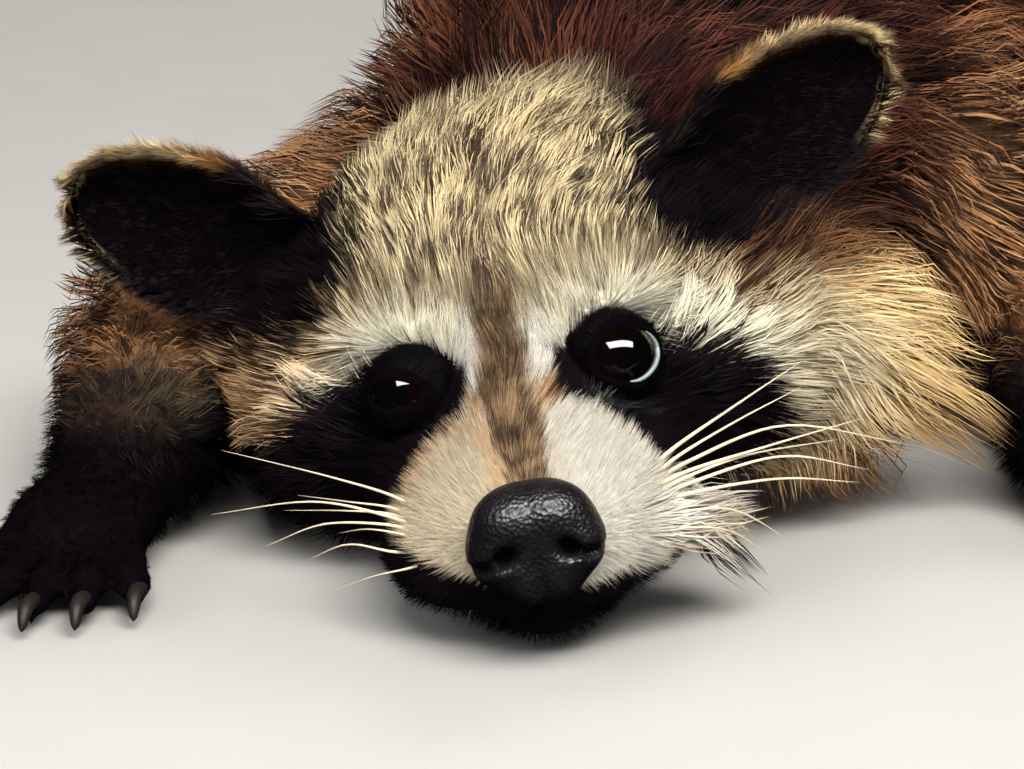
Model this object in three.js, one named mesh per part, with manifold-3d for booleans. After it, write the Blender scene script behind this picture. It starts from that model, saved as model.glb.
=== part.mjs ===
// A raccoon lying on its belly with its chin on the floor, life size, in millimetres.
//
// The outer surface is that of the coat. The head, the trunk and each leg are blends of furred lumps
// and limbs, meshed on a grid; the ears, tail, fingers and claws are lofted tubes. Each is then parted
// into the animal's named pieces, with a thin gap between neighbours.
//
// World frame: the face looks along -Y, the animal's left side is at +X, the floor is z = 0.
// Head frame: x to its left, y towards the back of the head, z up from the floor under the eyes.
// Body frame: the same, from the floor under the shoulders, turned away from the head.

import * as THREE from 'three';
import { mergeVertices } from 'three/addons/utils/BufferGeometryUtils.js';
import Module from 'manifold-3d';

const wasm = await Module();
wasm.setup();

// ---------------------------------------------------------------- driving dimensions

const GAP = 0.35; // between neighbouring pieces
const CLEARANCE = 0.5; // how far a solid is swollen before it is cut out of its neighbour
const DEGREE = Math.PI / 180;

const HEAD_ROLL = 10 * DEGREE; // the left ear is carried higher than the right
const HEAD_TURN = 1 * DEGREE; // the nose points a little to the animal's left
const BODY_TURN = -37 * DEGREE; // the body lies back and to the left of the head
const SHOULDER = [40, 165, 0]; // the floor under the shoulders

const EYE_SPACING = 41;
const EYE_HEIGHT = 45;
const EYE_RADIUS = 8.8;
const EYE_PROUD = 4.2; // how far the eyeball stands out of the coat
const NOSE_CENTRE = [0, -58, 26.5];
const NOSE_RADII = [12.5, 10, 11.5];

const EAR_LENGTH = 56;
const EAR_WIDTH = 40;
const EAR_THICKNESS = 4.5;
const EAR_CUP = 9; // how deep the ear is hollowed
const EAR_ROOT = { x: 42, y: 50, z: 68 };
const EAR_AIM = [0.9, 0.16, 0.42]; // from root to tip, on the left side
const EAR_FACE = [0.12, -0.95, -0.28]; // the way its hollow looks

// A nostril of the left side, from outside the nose to deep in it, from the nose's centre.
const NOSTRIL = [
	[4.2, -12, 0.5],
	[5.4, -7, 0],
	[8.8, -5.5, -2.2],
];
const NOSTRIL_RADIUS = 2;

const JAW_LINE = 8.5; // height of the closed mouth above the floor
const MOUTH_CORNER = -6; // how far back the mouth is cut

const TAIL_RADIUS = 33;
const HEAD_STEP = 10.7; // grid step of the head's mesh
const LEG_STEP = 18;
const TRUNK_STEP = 26;

const COLOURS = {
	grizzled: [0x7d6a52, 0.95],
	pale: [0xcabfa6, 0.95],
	dark: [0x1c1715, 0.9],
	tail: [0x6b5942, 0.95],
	skin: [0x0d0c0d, 0.35],
	eye: [0x0a0706, 0.06],
};

// ---------------------------------------------------------------- frames

function frameAt([x, y, z], turnX = 0, turnY = 0, turnZ = 0) {
	const turn = new THREE.Quaternion().setFromEuler(new THREE.Euler(turnX, turnY, turnZ, 'ZYX'));
	return new THREE.Matrix4().compose(new THREE.Vector3(x, y, z), turn, new THREE.Vector3(1, 1, 1));
}

const WORLD = new THREE.Matrix4();
const HEAD = frameAt([0, 0, 0], 0, -HEAD_ROLL, HEAD_TURN);
const BODY = frameAt(SHOULDER, 0, 0, BODY_TURN);

const pointIn = (frame, [x, y, z]) => new THREE.Vector3(x, y, z).applyMatrix4(frame);

// ---------------------------------------------------------------- distance fields

// A furred lump: an ellipsoid in a frame, turned about its own centre.
function lump(frame, centre, [rx, ry, rz], turn = [0, 0, 0]) {
	const own = frameAt(centre, ...turn.map((t) => t * DEGREE));
	const inward = frame.clone().multiply(own).invert();
	const q = new THREE.Vector3();
	return (p) => {
		q.copy(p).applyMatrix4(inward);
		const near = Math.hypot(q.x / rx, q.y / ry, q.z / rz);
		const steep = Math.hypot(q.x / rx ** 2, q.y / ry ** 2, q.z / rz ** 2);
		return steep < 1e-9 ? -Math.min(rx, ry, rz) : (near * (near - 1)) / steep;
	};
}

// A limb: a straight round bar from a to b, with a radius at each end.
function limb(frame, a, radiusA, b, radiusB) {
	const start = pointIn(frame, a);
	const along = pointIn(frame, b).sub(start);
	const length2 = along.lengthSq();
	const taper = radiusA - radiusB;
	const slant2 = length2 - taper * taper;
	const q = new THREE.Vector3();
	const side = new THREE.Vector3();
	return (p) => {
		q.copy(p).sub(start);
		const y = q.dot(along);
		const z = y - length2;
		const x2 = side.copy(q).multiplyScalar(length2).addScaledVector(along, -y).lengthSq();
		const y2 = y * y * length2;
		const z2 = z * z * length2;
		const k = Math.sign(taper) * taper * taper * x2;
		if (Math.sign(z) * slant2 * z2 > k) return Math.sqrt(x2 + z2) / length2 - radiusB;
		if (Math.sign(y) * slant2 * y2 < k) return Math.sqrt(x2 + y2) / length2 - radiusA;
		return (Math.sqrt((x2 * slant2) / length2) + y * taper) / length2 - radiusA;
	};
}

// The union of several fields, rounded where they meet over about the width given.
function blend(width, fields) {
	return (p) =>
		fields.reduce((near, field) => {
			const other = field(p);
			const h = Math.max(width - Math.abs(near - other), 0) / width;
			return Math.min(near, other) - (h * h * width) / 4;
		}, Infinity);
}

const bothSides = (make) => [make(1), make(-1)];

// ---------------------------------------------------------------- meshes

function solid(geometry) {
	const bare = new THREE.BufferGeometry();
	bare.setAttribute('position', geometry.getAttribute('position').clone());
	if (geometry.index) bare.setIndex(geometry.index.clone());
	const merged = mergeVertices(bare, 1e-4);
	const build = (order) => {
		const triVerts = new Uint32Array(merged.index.array);
		if (order < 0) triVerts.reverse();
		const vertProperties = new Float32Array(merged.attributes.position.array);
		return new wasm.Manifold(new wasm.Mesh({ numProp: 3, vertProperties, triVerts }));
	};
	const made = build(1);
	return made.volume() < 0 ? build(-1) : made;
}

function meshOf(made) {
	const { numProp, vertProperties, triVerts } = made.getMesh();
	const bare = new THREE.BufferGeometry();
	const positions = vertProperties.filter((_, i) => i % numProp < 3);
	bare.setAttribute('position', new THREE.Float32BufferAttribute(positions, 3));
	bare.setIndex(new THREE.BufferAttribute(triVerts, 1));
	const geometry = mergeVertices(bare, 1e-4);
	geometry.computeVertexNormals();
	return geometry;
}

// Slides a point straight onto a field's surface, by no more than a part of the step.
function onto(field, point, step) {
	const p = new THREE.Vector3(...point);
	const slope = new THREE.Vector3();
	for (let pass = 0; pass < 2; pass++) {
		const here = field(p);
		for (let i = 0; i < 3; i++) {
			const beside = p.clone();
			beside.setComponent(i, p.getComponent(i) + 0.5);
			slope.setComponent(i, (field(beside) - here) / 0.5);
		}
		const most = 0.3 * step;
		const move = -here / Math.max(slope.lengthSq(), 0.25);
		p.addScaledVector(slope, THREE.MathUtils.clamp(move, -most, most));
	}
	return p.toArray();
}

// The surface where a field is zero, as one vertex in each grid cell that it crosses.
function surface(field, low, high, step) {
	const size = [0, 1, 2].map((i) => Math.ceil((high[i] - low[i]) / step) + 1);
	const strides = [1, size[0], size[0] * size[1]];
	const value = new Float64Array(size[0] * size[1] * size[2]);
	const spot = new THREE.Vector3();
	const each = (limit, visit) => {
		for (let k = 0; k < size[2] - limit; k++)
			for (let j = 0; j < size[1] - limit; j++)
				for (let i = 0; i < size[0] - limit; i++) {
					visit([i, j, k], i + j * strides[1] + k * strides[2]);
				}
	};
	each(0, (cell, at) => {
		const rim = cell.some((c, i) => c === 0 || c === size[i] - 1);
		spot.set(...cell.map((c, i) => low[i] + c * step));
		value[at] = Math.max(field(spot), rim ? 1 : -Infinity);
	});

	const positions = [];
	const vertexOf = new Map();
	const edges = [];
	for (let corner = 0; corner < 8; corner++)
		for (const bit of [1, 2, 4]) {
			if (!(corner & bit)) edges.push([corner, corner | bit]);
		}
	const offset = (corner) => [corner & 1, (corner >> 1) & 1, (corner >> 2) & 1];
	const shift = (corner) => offset(corner).reduce((sum, o, i) => sum + o * strides[i], 0);
	each(1, (cell, at) => {
		const sum = [0, 0, 0];
		let crossings = 0;
		for (const [a, b] of edges) {
			const va = value[at + shift(a)];
			const vb = value[at + shift(b)];
			if (va < 0 === vb < 0) continue;
			const t = va / (va - vb);
			const [oa, ob] = [offset(a), offset(b)];
			for (let i = 0; i < 3; i++) sum[i] += oa[i] + t * (ob[i] - oa[i]);
			crossings++;
		}
		if (!crossings) return;
		vertexOf.set(at, positions.length / 3);
		const middle = sum.map((s, i) => low[i] + (cell[i] + s / crossings) * step);
		positions.push(...onto(field, middle, step));
	});

	const apart = (m, n) => Math.hypot(...[0, 1, 2].map((i) => positions[3 * m + i] - positions[3 * n + i]));
	const index = [];
	each(1, (cell, at) => {
		for (let axis = 0; axis < 3; axis++) {
			const [u, v] = [(axis + 1) % 3, (axis + 2) % 3];
			const inside = value[at] < 0;
			if (!cell[u] || !cell[v] || inside === value[at + strides[axis]] < 0) continue;
			const back = [0, strides[u], strides[u] + strides[v], strides[v]];
			const quad = back.map((s) => vertexOf.get(at - s));
			const [a, b, c, d] = inside ? quad : quad.reverse();
			if (apart(a, c) < apart(b, d)) index.push(a, b, c, a, c, d);
			else index.push(b, c, d, b, d, a);
		}
	});
	const geometry = new THREE.BufferGeometry();
	geometry.setAttribute('position', new THREE.Float32BufferAttribute(positions, 3));
	geometry.setIndex(index);
	return solid(geometry);
}

// The same solid with every vertex moved outwards.
function swollen(made, distance) {
	const geometry = meshOf(made);
	const { position, normal } = geometry.attributes;
	for (let i = 0; i < position.count; i++) {
		const moved = new THREE.Vector3().fromBufferAttribute(position, i);
		moved.addScaledVector(new THREE.Vector3().fromBufferAttribute(normal, i), distance);
		position.setXYZ(i, ...moved);
	}
	return solid(geometry);
}

// A closed skin over rings of equally many points, with a flat cap on each end.
function loft(rings) {
	const sides = rings[0].length;
	const positions = rings.flat().flatMap((p) => p.toArray());
	const index = [];
	for (let r = 0; r + 1 < rings.length; r++)
		for (let s = 0; s < sides; s++) {
			const next = (s + 1) % sides;
			const [a, b] = [r * sides + s, r * sides + next];
			const [c, d] = [b + sides, a + sides];
			index.push(a, b, c, a, c, d);
		}
	const cap = (ring, first, flip) => {
		const middle = ring.reduce((sum, p) => sum.add(p), new THREE.Vector3()).divideScalar(sides);
		const centre = positions.push(...middle.toArray()) / 3 - 1;
		for (let s = 0; s < sides; s++) {
			const [a, b] = [first + s, first + ((s + 1) % sides)];
			index.push(...(flip ? [centre, b, a] : [centre, a, b]));
		}
	};
	cap(rings[0], 0, true);
	cap(rings.at(-1), (rings.length - 1) * sides, false);
	const geometry = new THREE.BufferGeometry();
	geometry.setAttribute('position', new THREE.Float32BufferAttribute(positions, 3));
	geometry.setIndex(index);
	return solid(geometry);
}

// A round tube along a smooth path through the points, with a radius at each place along it.
function tube(points, radiusAt, steps, sides) {
	const path = new THREE.CatmullRomCurve3(points, false, 'centripetal');
	const across = new THREE.Vector3();
	const up = new THREE.Vector3();
	const rings = [];
	for (let i = 0; i <= steps; i++) {
		const t = i / steps;
		const centre = path.getPointAt(t);
		const ahead = path.getTangentAt(t);
		across.crossVectors(ahead, new THREE.Vector3(0, 0, 1)).normalize();
		up.crossVectors(across, ahead);
		const radius = radiusAt(t);
		const corner = (_, s) => {
			const angle = (2 * Math.PI * (s + 0.5)) / sides;
			const p = centre.clone().addScaledVector(across, radius * Math.cos(angle));
			return p.addScaledVector(up, radius * Math.sin(angle));
		};
		rings.push(Array.from({ length: sides }, corner));
	}
	return loft(rings);
}

function ellipsoid(frame, centre, radii, around = 16, grow = 0) {
	const geometry = new THREE.SphereGeometry(1, around, around / 2);
	geometry.scale(...radii.map((r) => r + grow)).translate(...centre);
	return solid(geometry.applyMatrix4(frame));
}

// A big block whose face lies at a point, filling the side that the normal points to.
function halfSpace(point, normal) {
	const size = 1600;
	const upright = new THREE.Vector3(0, 0, 1);
	const turn = new THREE.Quaternion().setFromUnitVectors(upright, normal.clone().normalize());
	const geometry = new THREE.BoxGeometry(size, size, size).translate(0, 0, size / 2);
	return solid(geometry.applyQuaternion(turn).translate(point.x, point.y, point.z));
}

const ABOVE_FLOOR = halfSpace(new THREE.Vector3(), new THREE.Vector3(0, 0, 1));

// The largest body of a solid: a cut can leave a sliver beside it.
function whole(made) {
	return made.decompose().reduce((best, body) => (body.volume() > best.volume() ? body : best));
}

// What lies past a cut, or before it, short of the gap left there.
function past([point, normal]) {
	const n = normal.clone().normalize();
	return halfSpace(point.clone().addScaledVector(n, GAP / 2), n);
}
const before = ([point, normal]) => past([point, normal.clone().negate()]);

// Parts a solid by cuts, given in order along it, into one more piece than there are cuts.
function slices(made, cuts) {
	const pieces = [];
	let rest = made;
	for (const cut of cuts) {
		pieces.push(whole(rest.intersect(before(cut))));
		rest = rest.intersect(past(cut));
	}
	return [...pieces, whole(rest)];
}

// ---------------------------------------------------------------- head

const headField = blend(12, [
	lump(HEAD, [0, 42, 53], [48, 42, 36]), // braincase
	limb(HEAD, [0, -46, 24], 14, [0, -4, 37], 20), // muzzle
	limb(HEAD, [0, -43, 12], 12, [0, 25, 20], 24), // lower jaw
	...bothSides((s) => lump(HEAD, [s * 18, -6, 24], [15, 22, 17])), // lips
	...bothSides((s) => lump(HEAD, [s * 15, -33, 21], [16, 20, 15], [0, 0, s * 6])), // whisker pads
	...bothSides((s) => lump(HEAD, [s * 20, 10, 55], [18, 15, 11])), // brows
	blend(24, [
		...bothSides((s) => lump(HEAD, [s * 34, 20, 34], [22, 26, 26])), // cheeks
		lump(HEAD, [-41, 46, 38], [24, 25, 29], [0, -6, -12]), // ruff
		lump(HEAD, [60, 44, 30], [36, 27, 35], [0, 10, 12]), // ruff, pushed out by the neck's bend
	]),
]);
const neckField = limb(WORLD, [3, 76, 48], 42, [34, 142, 66], 62);
const headAndNeck = blend(22, [headField, neckField]);

// Where a field's surface lies along +y at a place in the head frame, from in front of the head.
function frontOfHead(x, z) {
	let [near, far] = [-120, 20];
	for (let i = 0; i < 40; i++) {
		const middle = (near + far) / 2;
		if (headField(pointIn(HEAD, [x, middle, z])) > 0) near = middle;
		else far = middle;
	}
	return far;
}

const eyeY = frontOfHead(EYE_SPACING / 2, EYE_HEIGHT) + EYE_RADIUS - EYE_PROUD;
const eyeCentre = (side) => [(side * EYE_SPACING) / 2, eyeY, EYE_HEIGHT];
const eyeball = (side, grow) =>
	ellipsoid(HEAD, eyeCentre(side), [EYE_RADIUS, EYE_RADIUS, EYE_RADIUS], 12, grow);

// Half an ear's width, from its root (0) to its tip (1).
function earHalf(t) {
	const tip = Math.sqrt(Math.max(1 - Math.max(0, (t - 0.35) / 0.66) ** 2.2, 0.03));
	return (EAR_WIDTH / 2) * tip * (0.7 + 0.3 * THREE.MathUtils.smoothstep(t, 0.05, 0.4));
}

// An ear: a leaf-shaped shell, hollowed on the side that looks forward.
function ear(side, grow = 0) {
	const aim = new THREE.Vector3(...EAR_AIM).normalize();
	const across = new THREE.Vector3(...EAR_FACE).cross(aim).normalize();
	const face = new THREE.Vector3().crossVectors(aim, across);
	const place = (along, sideways, out) => {
		const p = new THREE.Vector3(EAR_ROOT.x, EAR_ROOT.y, EAR_ROOT.z)
			.addScaledVector(aim, along)
			.addScaledVector(across, sideways)
			.addScaledVector(face, out);
		p.x *= side;
		return p.applyMatrix4(HEAD);
	};
	const stations = 7;
	const columns = 5;
	const rings = [];
	for (let i = 0; i <= stations; i++) {
		const t = Math.sin((Math.PI / 2) * (i / stations));
		const along = EAR_LENGTH * (t - 0.12);
		const half = earHalf(t) + grow;
		const cup = EAR_CUP * (1 - 0.35 * t);
		const shell = (v, out) => place(along, v * half, cup * v * v + out * (1 - 0.72 * v ** 4));
		const steps = Array.from({ length: columns }, (_, c) => -1 + (2 * (c + 0.5)) / columns);
		rings.push([
			...steps.map((v) => shell(v, EAR_THICKNESS / 2 + grow)),
			...steps.reverse().map((v) => shell(v, -EAR_THICKNESS / 2 - grow)),
		]);
	}
	return loft(rings);
}

const nose = (grow) => {
	const pad = ellipsoid(HEAD, NOSE_CENTRE, NOSE_RADII, 12, grow);
	if (grow) return pad;
	const [, y0, z0] = NOSE_CENTRE;
	const holes = bothSides((s) => {
		const line = NOSTRIL.map(([x, y, z]) => pointIn(HEAD, [s * x, y0 + y, z0 + z]));
		return tube(line, () => NOSTRIL_RADIUS, 2, 5);
	});
	return holes.reduce((made, hole) => made.subtract(hole), pad);
};

// The block that holds everything below the closed mouth.
function jawBlock(grow) {
	const [width, length, height] = [90, 90, 60];
	const geometry = new THREE.BoxGeometry(width, length, height);
	geometry.translate(0, MOUTH_CORNER + grow - length / 2, JAW_LINE + grow - height / 2);
	return solid(geometry.applyMatrix4(HEAD));
}

const NECK_CUT = [new THREE.Vector3(8, 84, 55), new THREE.Vector3(0.25, 0.96, 0.12)];

const headMesh = surface(headAndNeck, [-110, -85, -22], [115, 150, 110], HEAD_STEP);

function headPieces() {
	let [head] = slices(headMesh.intersect(ABOVE_FLOOR), [NECK_CUT]);
	for (const side of [1, -1]) {
		head = head.subtract(eyeball(side, GAP)).subtract(ear(side, GAP));
	}
	head = head.subtract(nose(GAP));
	const jaw = whole(head.intersect(jawBlock(-GAP / 2)));
	head = whole(head.subtract(jawBlock(GAP / 2)));
	return {
		head,
		lower_jaw: jaw,
		nose: nose(0),
		eye_left: eyeball(1, 0),
		eye_right: eyeball(-1, 0),
		ear_left: ear(1),
		ear_right: ear(-1),
	};
}

// ---------------------------------------------------------------- trunk

const trunkField = blend(34, [
	neckField,
	lump(BODY, [-4, 6, 64], [78, 96, 72]), // chest and shoulders
	lump(BODY, [0, 118, 66], [84, 130, 78]), // ribs and belly
	lump(BODY, [0, 222, 66], [82, 98, 79]), // hips
	limb(BODY, [0, 280, 48], 40, [-5, 345, 34], 24), // root of the tail
]);

const bodyDirection = (x, y, z) => new THREE.Vector3(x, y, z).transformDirection(BODY);
const bodyCut = (along, height = 60) => [pointIn(BODY, [0, along, height]), bodyDirection(0, 1, 0)];
const TAIL_ROOT_CUT = [pointIn(BODY, [-5, 342, 36]), bodyDirection(-0.25, 1, -0.12)];

// ---------------------------------------------------------------- tail

const TAIL_PATH = [
	[0, 316, 38],
	[-5, 344, 34],
	[-30, 388, 31],
	[-84, 416, 29],
	[-146, 404, 28],
	[-184, 356, 27],
	[-196, 318, 25],
];

// Slim at the root, fullest past the middle, blunt at the tip.
function tailRadius(t) {
	const body = TAIL_RADIUS * (0.72 + 0.28 * Math.sin(Math.PI * Math.min(t * 1.15, 0.75)));
	const tip = Math.sqrt(Math.max(1 - Math.max(0, (t - 0.84) / 0.17) ** 2, 0.03));
	return body * tip;
}

// ---------------------------------------------------------------- legs

// Each leg's joints, from the trunk to the toes: place and radius of the furred limb.
const LEGS = {
	foreleg_right: {
		frame: WORLD,
		joints: [
			[[-6, 140, 54], 42],
			[[-82, 104, 25], 28],
			[[-88, 30, 18], 19],
		],
		paw: { at: [-93, 24, 11], aim: 8, length: 56, width: 33, height: 23 },
	},
	foreleg_left: {
		frame: WORLD,
		joints: [
			[[84, 132, 56], 42],
			[[124, 116, 26], 28],
			[[112, 50, 17], 18],
		],
		paw: { at: [116, 38, 10], aim: -16, length: 52, width: 32, height: 21 },
	},
	hindleg_right: {
		frame: BODY,
		joints: [
			[[-50, 236, 54], 48],
			[[-76, 172, 38], 32],
			[[-92, 262, 17], 16],
		],
		paw: { at: [-106, 262, 9], aim: -7, length: 96, width: 31, height: 19 },
	},
	hindleg_left: {
		frame: BODY,
		joints: [
			[[50, 236, 54], 48],
			[[76, 172, 38], 32],
			[[92, 262, 17], 16],
		],
		paw: { at: [106, 262, 9], aim: 7, length: 96, width: 31, height: 19 },
	},
};

const DIGITS = 5;
const DIGIT_RADIUS = 4.2;
const CLAW_LENGTH = 10;

// A paw flat on the floor: a padded palm, five fingers side by side, and a curved claw on each.
function paw({ frame, paw: { at, aim, length, width, height } }) {
	const own = frame.clone().multiply(frameAt(at, 0, 0, -aim * DEGREE));
	const palm = length * 0.58;
	let made = ellipsoid(own, [0, -palm * 0.42, -1], [width / 2, palm * 0.66, height / 2], 8);
	for (let d = 0; d < DIGITS; d++) {
		const spread = d / (DIGITS - 1) - 0.5; // -0.5 on the right of the paw to 0.5 on its left
		const reach = length * (1 - 0.7 * spread * spread);
		const x = spread * width * 0.84;
		const splay = spread * 9;
		const low = DIGIT_RADIUS - at[2];
		const finger = [
			[x * 0.7, -palm * 0.55, 0],
			[x + splay * 0.5, -(palm + reach) * 0.52, 1.5 + low],
			[x + splay, -reach, low],
		].map((p) => pointIn(own, p));
		const claw = [
			[x + splay, -reach + 2, low + 1],
			[x + splay * 1.15, -reach - CLAW_LENGTH * 0.5, low + 1.2],
			[x + splay * 1.3, -reach - CLAW_LENGTH * 0.9, low - 2.2],
		].map((p) => pointIn(own, p));
		made = made
			.add(tube(finger, (t) => DIGIT_RADIUS * (1 - 0.35 * Math.max(0, (t - 0.6) / 0.4) ** 2), 2, 5))
			.add(tube(claw, (t) => 2.2 - 1.7 * t, 1, 4));
	}
	return made;
}

function legPieces(name, leg, neighbours) {
	const { frame, joints } = leg;
	const [[a, ra], [b, rb], [c, rc]] = joints;
	const field = blend(14, [limb(frame, a, ra, b, rb), limb(frame, b, rb, c, rc)]);
	const places = joints.map(([p]) => pointIn(frame, p));
	const reach = Math.max(ra, rb, rc) + 2 * LEG_STEP;
	const low = [0, 1, 2].map((i) => Math.min(...places.map((p) => p.getComponent(i))) - reach);
	const high = [0, 1, 2].map((i) => Math.max(...places.map((p) => p.getComponent(i))) + reach);
	const limbs = surface(field, low, high, LEG_STEP);
	const apart = (made) =>
		neighbours.reduce((rest, other) => rest.subtract(other), made.intersect(ABOVE_FLOOR));

	const toElbow = places[1].clone().sub(places[0]).normalize();
	const toWrist = places[2].clone().sub(places[1]).normalize();
	const elbow = [places[1].clone().addScaledVector(toElbow, rb * 0.2), toElbow.clone().add(toWrist)];
	const wrist = [places[2].clone().addScaledVector(toWrist, rc * 0.1), toWrist];
	const [upper, rest] = slices(apart(limbs), [elbow]);
	const [lower] = slices(rest, [wrist]);

	const beyond = past(elbow).intersect(past(wrist));
	const taken = swollen(limbs, CLEARANCE).subtract(beyond);
	const foot = paw(leg).add(limbs.intersect(beyond)).subtract(taken);
	const footName = name.replace('leg', name.startsWith('fore') ? 'paw' : 'foot');
	return { [`${name}_upper`]: upper, [`${name}_lower`]: lower, [footName]: whole(apart(foot)) };
}

// ---------------------------------------------------------------- the whole animal

function build() {
	const pieces = headPieces();

	const trunk = surface(trunkField, [-90, 20, -26], [360, 520, 176], TRUNK_STEP);
	const clear = swollen(trunk, CLEARANCE);
	const behindHead = trunk.intersect(ABOVE_FLOOR).intersect(past(NECK_CUT));
	const [neck, chest, belly, rump] = slices(behindHead, [
		[pointIn(BODY, [-8, -40, 60]), bodyDirection(-0.2, 1, 0)],
		bodyCut(62),
		bodyCut(178),
	]);
	const [shortRump] = slices(rump, [TAIL_ROOT_CUT]);
	Object.assign(pieces, { neck, chest, belly, rump: shortRump });

	const line = TAIL_PATH.map((p) => pointIn(BODY, p));
	const tail = tube(line, tailRadius, 17, 12).intersect(ABOVE_FLOOR).intersect(past(TAIL_ROOT_CUT));
	const [tail_base, tail_middle, tail_tip] = slices(tail, [
		[pointIn(BODY, [-48, 398, 30]), bodyDirection(-1, 0.6, 0)],
		[pointIn(BODY, [-150, 402, 30]), bodyDirection(-0.8, -0.6, 0)],
	]);
	Object.assign(pieces, { tail_base, tail_middle, tail_tip });

	const headClear = swollen(headMesh, CLEARANCE);
	for (const [name, leg] of Object.entries(LEGS)) {
		const neighbours = name.startsWith('fore') ? [clear, headClear] : [clear];
		Object.assign(pieces, legPieces(name, leg, neighbours));
	}
	return pieces;
}

function finishOf(name) {
	if (name.startsWith('eye')) return 'eye';
	if (name === 'nose') return 'skin';
	if (name === 'lower_jaw' || name.includes('paw') || name.includes('foot')) return 'dark';
	if (name.startsWith('ear')) return 'dark';
	if (name === 'head') return 'pale';
	return name.startsWith('tail') ? 'tail' : 'grizzled';
}

const pose = new THREE.Group();
for (const [name, made] of Object.entries(build())) {
	const [color, roughness] = COLOURS[finishOf(name)];
	const material = new THREE.MeshStandardMaterial({ color, roughness, metalness: 0 });
	const mesh = new THREE.Mesh(meshOf(made), material);
	mesh.name = name;
	pose.add(mesh);
}

// The part's origin is on the floor under the middle of the whole animal.
const box = new THREE.Box3().setFromObject(pose);
const middle = box.getCenter(new THREE.Vector3());
pose.position.set(-middle.x, -middle.y, -box.min.z);

const raccoon = new THREE.Group();
raccoon.add(pose);

export default raccoon;
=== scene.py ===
"""A raccoon resting with its chin on the floor: skin, coat, eyes, nose, claws and whiskers."""
import math

import bpy
import numpy as np
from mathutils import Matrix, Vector
from mathutils.kdtree import KDTree


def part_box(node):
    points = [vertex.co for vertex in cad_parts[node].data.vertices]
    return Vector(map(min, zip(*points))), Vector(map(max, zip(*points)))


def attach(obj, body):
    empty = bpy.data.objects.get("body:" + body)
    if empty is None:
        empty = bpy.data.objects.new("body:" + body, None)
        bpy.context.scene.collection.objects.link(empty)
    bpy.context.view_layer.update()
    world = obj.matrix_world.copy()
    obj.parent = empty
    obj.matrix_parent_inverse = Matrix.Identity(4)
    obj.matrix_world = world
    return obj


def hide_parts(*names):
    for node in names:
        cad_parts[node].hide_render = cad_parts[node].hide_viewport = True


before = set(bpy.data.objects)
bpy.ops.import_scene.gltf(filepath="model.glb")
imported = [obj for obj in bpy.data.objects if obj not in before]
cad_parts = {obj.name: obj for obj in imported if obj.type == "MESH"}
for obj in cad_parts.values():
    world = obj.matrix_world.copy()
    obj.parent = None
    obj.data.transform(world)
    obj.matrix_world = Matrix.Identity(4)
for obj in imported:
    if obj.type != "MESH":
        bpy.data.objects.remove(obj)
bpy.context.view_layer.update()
rng = np.random.default_rng(11)
MM = 0.001
QUICK_SHARE = 1.0  # of the hairs

# Lengths below are in millimetres, in the frame the CAD model was drawn in: the face looks along -y
# and the animal's left is +x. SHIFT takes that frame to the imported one.

# ---------------------------------------------------------------- frames

HEAD_ROLL, HEAD_TURN, BODY_TURN = 10, 1, -37  # degrees


def frame_at(place, turns=(0, 0, 0)):
    """A 4x4 frame at a place, turned about x, then y, then z, in degrees."""
    (cx, cy, cz), (sx, sy, sz) = np.cos(np.radians(turns)), np.sin(np.radians(turns))
    about_x = np.array([[1, 0, 0], [0, cx, -sx], [0, sx, cx]])
    about_y = np.array([[cy, 0, sy], [0, 1, 0], [-sy, 0, cy]])
    about_z = np.array([[cz, -sz, 0], [sz, cz, 0], [0, 0, 1]])
    made = np.eye(4)
    made[:3, :3] = about_z @ about_y @ about_x
    made[:3, 3] = place
    return made


WORLD = np.eye(4)
HEAD = frame_at((0, 0, 0), (0, -HEAD_ROLL, HEAD_TURN))
BODY = frame_at((40, 165, 0), (0, 0, BODY_TURN))


def out_of(own, p):
    """Points of a frame, as points of the whole model."""
    return np.asarray(p, float) @ own[:3, :3].T + own[:3, 3]


def into(own, p):
    """Points of the whole model, as points of a frame."""
    return (np.asarray(p, float) - own[:3, 3]) @ own[:3, :3]


def turned(own, v):
    """Directions of a frame, as directions of the whole model."""
    return np.asarray(v, float) @ own[:3, :3].T


def length(v):
    return np.sqrt((v * v).sum(-1))


def unit(v):
    return v / np.maximum(length(v), 1e-9)[..., None]


def dots(a, b):
    return (a * b).sum(-1)


def ramp(x, low, high):
    """0 below low, 1 above high, and smooth between."""
    t = np.clip((x - low) / (high - low), 0, 1)
    return t * t * (3 - 2 * t)


def mix(a, b, t):
    """From a, where t is 0, to b, where it is 1."""
    t = np.asarray(t, float)
    if np.ndim(a) > t.ndim or np.ndim(b) > t.ndim:
        t = t[..., None]
    return a + (b - a) * t


def between(a, b, t):
    """A tone from a to b at each of many points."""
    return mix(np.asarray(a, float), np.asarray(b, float), t[:, None])


def lattice_noise(p, size, seed=0):
    """Smooth noise from -1 to 1, with features about `size` across."""
    q = np.asarray(p, float) / size + 100.5 + 17.3 * seed
    cell = np.floor(q).astype(np.int64)
    f = q - cell
    f = f * f * (3 - 2 * f)
    total = np.zeros(len(q))
    for corner in range(8):
        step = np.array([corner & 1, corner >> 1 & 1, corner >> 2 & 1])
        c = cell + step
        h = (c[:, 0] * 73856093 ^ c[:, 1] * 19349663 ^ c[:, 2] * 83492791) & 0xFFFFFF
        h = (h * 1103515245 + 12345 + seed * 7919) & 0x7FFFFFFF
        h = (h ^ h >> 13) * 69069 & 0x7FFFFFFF
        weight = np.where(step, f, 1 - f).prod(1)
        total += weight * (h / 0x3FFFFFFF - 1)
    return total


# ---------------------------------------------------------------- the body's form
# Each form takes points and `bare`: 0 gives the coat's outer surface, which is the CAD model's, and
# 1 the skin's, deeper by the thickness of the coat there.


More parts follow.
